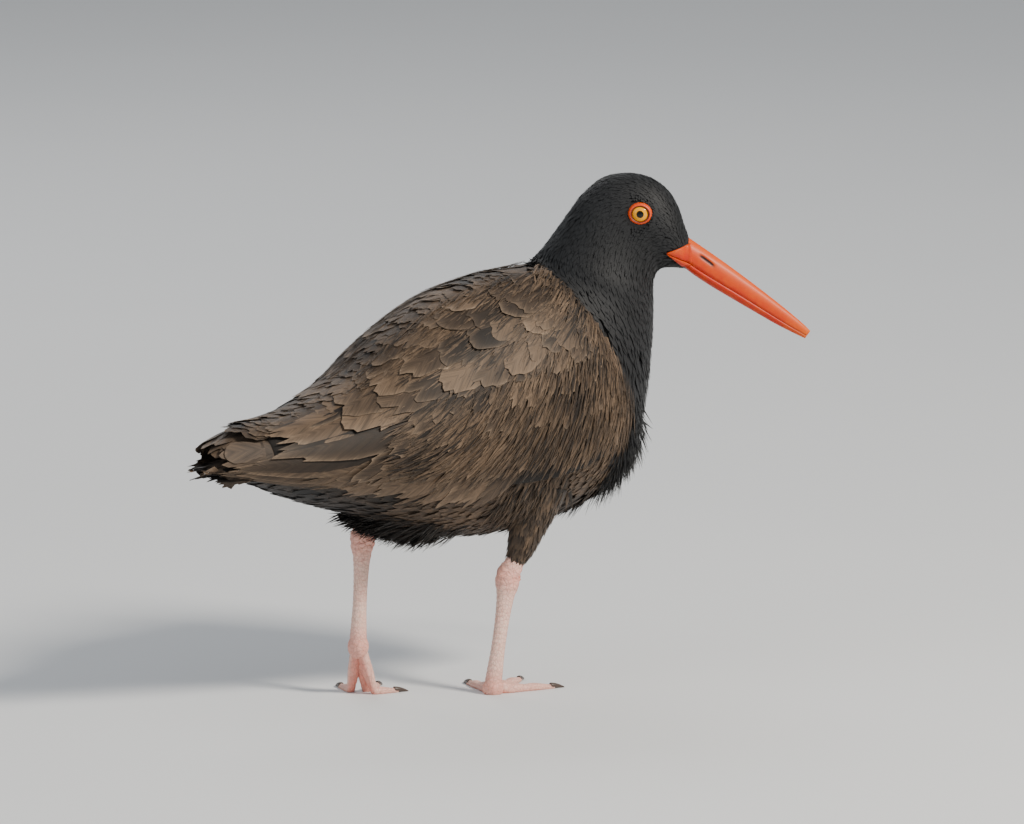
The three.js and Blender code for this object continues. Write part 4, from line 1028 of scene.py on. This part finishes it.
# Eye: rays and flecks in the iris, a darker rim to it and the pupil, all by the distance from its middle
def eyeMaterial():
    look = Look("eyeball")
    calc = look.calc
    radius = look.attribute("eyeRadius")
    acrossRays, upRays = (calc("MULTIPLY", look.attribute(key), 9) for key in ("eyeCos", "eyeSin"))
    ray = look.noise(look.vector(acrossRays, upRays, calc("MULTIPLY", radius, 0.4)), 1.0, 3)
    inside = calc("SUBTRACT", eyePlace["pupil"] + 0.08, radius)
    base = look.layers((0.75, 0.24, 0.001),
                       (ray, (0.98, 0.50, 0.002)),
                       (look.above(look.noise(None, 1500, 2), 0.62, 5), (0.35, 0.08, 0.008)),
                       (look.above(radius, 3.2, 1.4), (0.42, 0.10, 0.008)),
                       (calc("MULTIPLY", inside, 8, clamp=True), (0.004, 0.004, 0.004)))
    look.put({"Base Color": base, "Roughness": 0.3, "Specular IOR Level": 0.15, "Coat Weight": 0.35,
              "Coat Roughness": 0.015})
    return look.material


# Bare lid: mottled, and dark within its outer band
def lidMaterial():
    look = Look("eyelidSkin")
    grain = look.noise(None, 2200, 3)
    bright = look.mix(grain, (0.62, 0.035, 0.003), (0.86, 0.105, 0.008))
    outerBand = look.above(look.attribute("lidRadius"), 4.55, 2.2)
    look.put({"Base Color": look.mix(outerBand, (0.10, 0.012, 0.004), bright), "Roughness": 0.45,
              "Subsurface Weight": 0.1, "Subsurface Scale": 0.001, "Normal": look.bump(grain, 0.5, 0.0002)})
    return look.material


# Eyes: a ball in each side of the head, and a beaded ring of bare lid round it. The lid's section, from the
# iris's edge, goes up over a soft roll, down to the cheek and back under.
eyeSurface, lidSkin = eyeMaterial(), lidMaterial()
turnAngle = np.linspace(-0.3, math.pi / 2 - 0.02, 40)
ballProfile = [(eyePlace["radius"] * math.cos(a), eyePlace["radius"] * math.sin(a)) for a in turnAngle]
seat = math.sqrt(eyePlace["radius"] ** 2 - eyePlace["iris"] ** 2)
roll = [(radius, seat + rise) for radius, rise in (
    (4.2, -0.6), (3.95, 0.15), (4.15, 0.75), (4.6, 1.15), (5.1, 1.1), (5.6, 0.6), (5.95, -0.2), (6.15, -1.2),
    (6.0, -2.4), (5.0, -2.6))]
lidAround, lidStretch, lidBeads = 72, (0.98, 0.88), (0.012, 22)
for sideName, side in sides:
    rings, radius, angle = lathe(ballProfile, side, 64)
    mesh = ringMesh("eye", rings, {"eyeRadius": radius, "eyeCos": np.cos(angle), "eyeSin": np.sin(angle)},
                    uv=False)
    addPiece(f"eyeball_{sideName}", mesh, eyeSurface, "eye_yellow", (f"eye_{sideName}",))
    rings, radius, _ = lathe(roll, side, lidAround, lidStretch, lidBeads)
    cell = np.arange(radius.size).reshape(radius.shape)
    after = np.roll(cell, -1, 0)
    quads = np.stack([cell, np.roll(cell, -1, 1), np.roll(after, -1, 1), after], -1).reshape(-1, 4)
    mesh = makeMesh("lid", rings.reshape(-1, 3), quads if side < 0 else quads[:, ::-1],
                    attributes={"lidRadius": radius.ravel()})
    addPiece(f"lid_{sideName}", mesh, lidSkin, "eyelid_red", (f"eyelid_{sideName}",), levels=1)
note("eyes made")


# Bare skin: clouded, reddened and darkened by an attribute, which is painted shade on the leg's rear side and
# under the toes and the skin's own flush about the heel joint and the ball, with darker cracks between scales
# and paler specks
def legMaterial():
    look = Look("legSkin")
    calc = look.calc
    along, around, red = (look.attribute(key) for key in ("legAlong", "legAround", "legRed"))
    cloud, fine = look.noise(None, 180, 4), look.noise(None, 1500, 3)
    scales = look.nodes.new("ShaderNodeTexVoronoi")
    scales.feature = "DISTANCE_TO_EDGE"
    scales.inputs["Scale"].default_value = 1.0
    look.feed(scales.inputs["Vector"],
              look.vector(calc("MULTIPLY", around, 2.3), calc("MULTIPLY", along, 0.55), 0.0))
    crack = calc("MULTIPLY", scales.outputs["Distance"], 9, clamp=True)
    base = look.layers((0.80, 0.46, 0.37),
                       (cloud, (0.93, 0.68, 0.57)),
                       # Red and darker where legRed is high: painted shade on the rear side and under the
                       # toes, the skin's own flush elsewhere
                       (calc("MULTIPLY", red, calc("ADD", 0.45, cloud), clamp=True), (0.74, 0.21, 0.15)),
                       (calc("MULTIPLY", calc("SUBTRACT", 1.0, crack), 0.45), (0.50, 0.22, 0.17)),
                       (look.above(fine, 0.5, 0.8), (0.95, 0.76, 0.66)))
    look.put({"Base Color": base, "Roughness": calc("ADD", 0.42, calc("MULTIPLY", fine, 0.2)),
              "Subsurface Weight": 0.12, "Subsurface Radius": (0.003, 0.001, 0.0006), "Subsurface Scale": 1.0,
              "Normal": look.bump(calc("ADD", crack, calc("MULTIPLY", fine, 0.3)), 0.55, 0.0004)})
    return look.material


legPlans = {
    "right": {"side": -1, "ball": [11.9, -18, 3.8], "heel": [21.4, -18, 56.5], "shin": [28.5, -21.5, 73],
              "raised": False},
    "left": {"side": 1, "ball": [-41.5, 18, 25], "heel": [-38.5, 18, 77], "shin": [-35, 20, 92],
             "raised": True},
}
# Leg rows: part (0 above the heel joint, 1 below), share along that part, half width, half depth
legRows = [(0, 1.0, 3.5, 4), (0, 0.55, 3.7, 4.4), (0, 0.22, 4.6, 5.4), (1, 0.0, 5.3, 6.4),
           (1, 0.09, 5, 6.1), (1, 0.19, 3.9, 4.7), (1, 0.4, 3.2, 3.8), (1, 0.66, 3.2, 3.6),
           (1, 0.85, 3.7, 4), (1, 1.0, 4.2, 4.3)]
scuteEvery, heelAt = 2.6, 19
legSkin = legMaterial()


# A leg from the shin over the heel joint to the ball: raised scutes down its front, wrinkles about the
# joint
def legMesh(leg):
    ball, heel, shin = (np.array(leg[key], float) for key in ("ball", "heel", "shin"))
    places = [heel + ((ball if part else shin) - heel) * share for part, share, _, _ in legRows]
    surface, reach = limbSurface(places, [r[2] for r in legRows], [r[3] for r in legRows])
    k, theta = np.meshgrid(np.linspace(0, reach, 190), np.arange(48) / 48 * tau, indexing="ij")
    place, _, _, normal = frameAt(surface, k, theta)
    scute = np.abs(np.sin(k / scuteEvery * math.pi)) ** 0.5 * 0.22 * smooth(-np.cos(theta), -0.1, 0.6)
    knob = np.exp(-((k - heelAt) / 7.0) ** 2)
    wrinkle = (0.25 * np.sin(theta * 5 + k * 0.9) + 0.2 * np.sin(k * 2.1 + np.sin(theta * 3) * 2)) * knob
    rings = place + normal * (scute + wrinkle * 0.8 - 0.2)[..., None]
    # Painted shade: the rear side is reddened and darkened; the flush about the heel joint and towards the
    # ball is the skin's own
    rear = smooth(np.cos(theta), 0.35, 0.95)
    red = np.clip(rear * 0.75 + knob * 0.5 + smooth(k, reach - 12, reach) * 0.5, 0, 1)
    return ringMesh("leg", rings, {"legAlong": k, "legAround": theta, "legRed": red}, uv=False)


toePlans = [{"name": "inner", "turn": 44, "length": 29, "radius": 3.0},
            {"name": "middle", "turn": 0, "length": 38, "radius": 3.2},
            {"name": "outer", "turn": -42, "length": 33, "radius": 3.0}]
footHeading = 32
toeSwell = [1.25, 1.02, 1.12, 0.86, 1, 0.78, 0.55]
toeRest = 0.62  # how high a toe's middle rests, as a share of its half depth
toeDepth = 0.92  # a toe's half depth, as a share of its half width
raisedToe = {"flatFrom": 0.58, "forward": 0.52, "eased": 0.35}


# The toe's way over the floor and the way across it
def toeDirection(leg, toe):
    angle = math.radians(footHeading - leg["side"] * toe["turn"])
    return np.array([math.cos(angle), math.sin(angle), 0]), np.array([-math.sin(angle), math.cos(angle), 0])


# A flat foot's toe lies along the floor; a raised foot's toe comes down first and lies flat beyond its bend
def toePath(leg, toe, share):
    ball = np.array(leg["ball"], float)
    ahead, _ = toeDirection(leg, toe)
    rest = toeRadius(toe, share) * toeDepth * toeRest
    if leg["raised"]:
        bend, forward, eased = (raisedToe[key] for key in ("flatFrom", "forward", "eased"))
        drop = np.minimum(1, share / bend)
        reach = np.where(share <= bend, forward * share, forward * bend + (share - bend))
        down = drop * drop * (3 - 2 * drop) * eased + drop * (1 - eased)
    else:
        reach, down = share, np.minimum(1, share * 4)
    z = ball[2] + (rest - ball[2]) * down
    return np.column_stack([ball[:2] + (reach * toe["length"])[:, None] * ahead[:2], z])


# A running mean over an odd number of values, which are held on at both ends
def runningMean(values, width):
    return np.convolve(np.pad(values, width // 2, "edge"), np.ones(width) / width, "valid")


# A toe's radius swells over each pad and narrows towards the claw
def toeRadius(toe, share):
    fine = np.linspace(0, 1, 241)
    swell = runningMean(np.interp(fine, np.linspace(0, 1, len(toeSwell)), toeSwell), 29)
    return toe["radius"] * np.interp(share, fine, swell) * (1 - 0.3 * share)


# Nothing of a foot goes below the floor
def aboveFloor(rings, lowest=0.0):
    rings[..., 2] = np.maximum(rings[..., 2], lowest)
    return rings


# A toe: rings square to its smoothed path, with scutes on top and pads below
def toeMesh(leg, toe):
    share = np.linspace(0, 1, 70)
    centre = toePath(leg, toe, share)
    _, across = toeDirection(leg, toe)
    path = unit(np.gradient(centre, axis=0))
    path = unit(np.stack([runningMean(path[:, c], 13) for c in range(3)], 1))
    up = np.cross(path, across[None])
    up = up * np.sign(up[:, 2:3] + 1e-9)
    angle = np.arange(28) / 28 * tau
    k = (share * toe["length"])[:, None] + 0 * angle
    scute = 0.14 * np.abs(np.sin(k / 1.9 * math.pi)) ** 0.5 * smooth(np.cos(angle), 0, 0.7)
    pad = 0.12 * np.sin(k * 2.6) * smooth(-np.cos(angle), 0, 0.7)
    size = toeRadius(toe, share)[:, None] + scute + pad - 0.1
    rings = (centre[:, None] + across * (size * np.sin(angle))[..., None]
             + up[:, None] * (size * toeDepth * np.cos(angle))[..., None])
    # Painted shade: the toes' undersides are reddened and darkened
    red = np.clip(0.25 + 0.5 * smooth(-np.cos(angle), 0.1, 0.8) + 0 * k, 0, 1)
    return aboveFloor(rings), {"legAlong": k, "legAround": 0.7 * angle + 0 * k, "legRed": red}


# The ball of the foot: an ellipsoid over the toes' roots, made lumpy by waves round it
def ballRings(leg):
    lift = np.linspace(-1, 1, 22)[:, None]
    radius = np.sqrt(np.clip(1 - lift ** 2, 0.0005, 1))
    angle = np.arange(32) / 32 * tau
    tall, wide, lowered = (6.2, 4.9, 1.2) if leg["raised"] else (5.2, 5.0, 0.9)
    centre = np.array(leg["ball"], float) + np.array([0.2, 0.2, -lowered])
    lump = 1 + 0.05 * np.sin(angle * 5)[None] * radius + 0.03 * np.sin(angle * 9 + 1)[None]
    rings = np.stack([centre[0] + wide * radius * np.cos(angle) * lump,
                      centre[1] + wide * radius * np.sin(angle) * lump,
                      centre[2] + tall * lift + 0 * lump], -1)
    return aboveFloor(rings), {"legAlong": lift * 5 + 0 * lump, "legAround": angle + 0 * lump,
                               "legRed": 0 * lump + 0.55}


# A small web of skin between two toes, hollowed along its free edge
def webRings(leg, first, second, reach):
    s, t = np.meshgrid(np.linspace(0.02, 1, 12), np.linspace(0, 1, 13), indexing="ij")
    a, b = (toePath(leg, toe, np.linspace(0.02, reach, 12))[:, None] for toe in (first, second))
    pull = 1 - 0.35 * np.sin(t * math.pi) * s
    ball = np.array(leg["ball"], float) * [1, 1, 0.8]
    sheet = a * (1 - t[..., None]) + b * t[..., None]
    sheet = ball + (sheet - ball) * pull[..., None]
    rings = np.concatenate([sheet + [0, 0, 0.45], (sheet - [0, 0, 0.45])[:, ::-1]], 1)
    shape = rings.shape[:2]
    return aboveFloor(rings, 0.02), {"legAlong": np.broadcast_to(s[:, :1] * 8, shape) + 0,
                                     "legAround": np.zeros(shape), "legRed": np.full(shape, 0.6)}


# Several closed forms as one piece
def joinPieces(name, parts, material, slotName, nodes):
    made = [addObject(name, ringMesh(name, rings, attributes, uv=False)) for rings, attributes in parts]
    for piece in made:
        piece.data.materials.append(material)
    with bpy.context.temp_override(active_object=made[0], selected_editable_objects=made):
        bpy.ops.object.join()
    made[0].name = name
    markPiece(made[0], slotName, nodes)


# Dark horn, mottled
def clawMaterial():
    look = Look("clawHorn")
    base = look.mix(look.noise(None, 500, 3), (0.03, 0.02, 0.017), (0.11, 0.075, 0.06))
    look.put({"Base Color": base, "Roughness": 0.35})
    return look.material


# A claw: a flattened horn that starts inside the toe's end and curves down to a blunt point
def clawRings(leg, toe):
    root = toePath(leg, toe, np.array([1.0]))[0]
    ahead, across = toeDirection(leg, toe)
    share = np.linspace(0, 1, 18)
    reach = -2.0 + 7.6 * share
    radius = 1.3 * (1 - share ** 1.8) + 0.22
    height = np.maximum(root[2] + 0.55 - 1.5 * share ** 2, radius * 0.9)
    centre = np.column_stack([root[:2] + reach[:, None] * ahead[:2], height])
    angle = np.arange(18) / 18 * tau
    return aboveFloor(centre[:, None] + across * (radius[:, None] * 0.85 * np.sin(angle))[..., None]
                      + np.array([0, 0, 1.0]) * (radius[:, None] * np.cos(angle))[..., None])


clawHorn = clawMaterial()
inner, middle, outer = toePlans
for sideName, leg in legPlans.items():
    addPiece(f"legSurface_{sideName}", legMesh(leg), legSkin, "leg_pink", (f"leg_{sideName}",))
    parts = [toeMesh(leg, toe) for toe in toePlans] + [ballRings(leg)]
    parts += [webRings(leg, inner, middle, 0.16), webRings(leg, middle, outer, 0.36)]
    joinPieces(f"footSurface_{sideName}", parts, legSkin, "leg_pink", (f"foot_{sideName}",))
    for toe in toePlans:
        mesh = ringMesh("claw", clawRings(leg, toe), uv=False)
        addPiece(f"clawSurface_{sideName}_{toe['name']}", mesh, clawHorn, "claw_dark",
                 (f"claw_{sideName}_{toe['name']}",))
note("legs made")

# Floor, light and camera
floorLook = Look("paleFloor")
floorTone = floorLook.mix(floorLook.noise(None, 3, 2), (0.72, 0.73, 0.74), (0.76, 0.765, 0.77))
floorLook.put({"Base Color": floorTone, "Roughness": 0.8})
floorMesh = bpy.data.meshes.new("floor")
floorMesh.from_pydata([(-6, -6, 0), (6, -6, 0), (6, 6, 0), (-6, 6, 0)], [], [(0, 1, 2, 3)])
floorMesh.materials.append(floorLook.material)
floor = addObject("floor", floorMesh)

world = bpy.data.worlds.new("paleRoom")
world.use_nodes = True
world.node_tree.nodes["Background"].inputs["Color"].default_value = (0.82, 0.87, 0.93, 1)
world.node_tree.nodes["Background"].inputs["Strength"].default_value = 0.42
bpy.context.scene.world = world

viewAzimuth, viewElevation, viewDistance = math.radians(-38), math.radians(9), 8.0
viewWidth = 0.4876  # metres across the picture at the bird
lookAt = (np.array([23.3, -18.2, 135.0]) + footShift) * mm
backward = np.array([math.sin(viewAzimuth) * math.cos(viewElevation),
                     -math.cos(viewAzimuth) * math.cos(viewElevation), math.sin(viewElevation)])
cameraData = bpy.data.cameras.new("camera")
cameraData.lens = 36 * viewDistance / viewWidth
cameraData.clip_end = 60
camera = addObject("camera", cameraData)
camera.location = lookAt + backward * viewDistance
camera.rotation_euler = Vector(-backward).to_track_quat("-Z", "Y").to_euler()
bpy.context.scene.camera = camera

# Lights: offset from the middle of the bird, power, size and colour
rightward = np.array([math.cos(viewAzimuth), math.sin(viewAzimuth), 0])
lights = {"key": (rightward * 1.5 + backward * 1.0 + np.array([0, 0, 1.35]), 74, 0.5, (1.0, 0.94, 0.84)),
          "fill": (rightward * -1.6 + backward * 1.4 + np.array([0, 0, 0.7]), 11, 1.6, (0.92, 0.96, 1.0)),
          "back": (rightward * -0.6 - backward * 1.6 + np.array([0, 0, 1.5]), 10, 1.2, (1.0, 1.0, 1.0))}
for name, (offset, power, size, colour) in lights.items():
    lamp = bpy.data.lights.new(name, "AREA")
    lamp.energy, lamp.size, lamp.color = power, size, colour
    lampObject = addObject(name, lamp)
    lampObject.location = lookAt + offset
    lampObject.rotation_euler = Vector(-offset).to_track_quat("-Z", "Y").to_euler()
note("scene made")
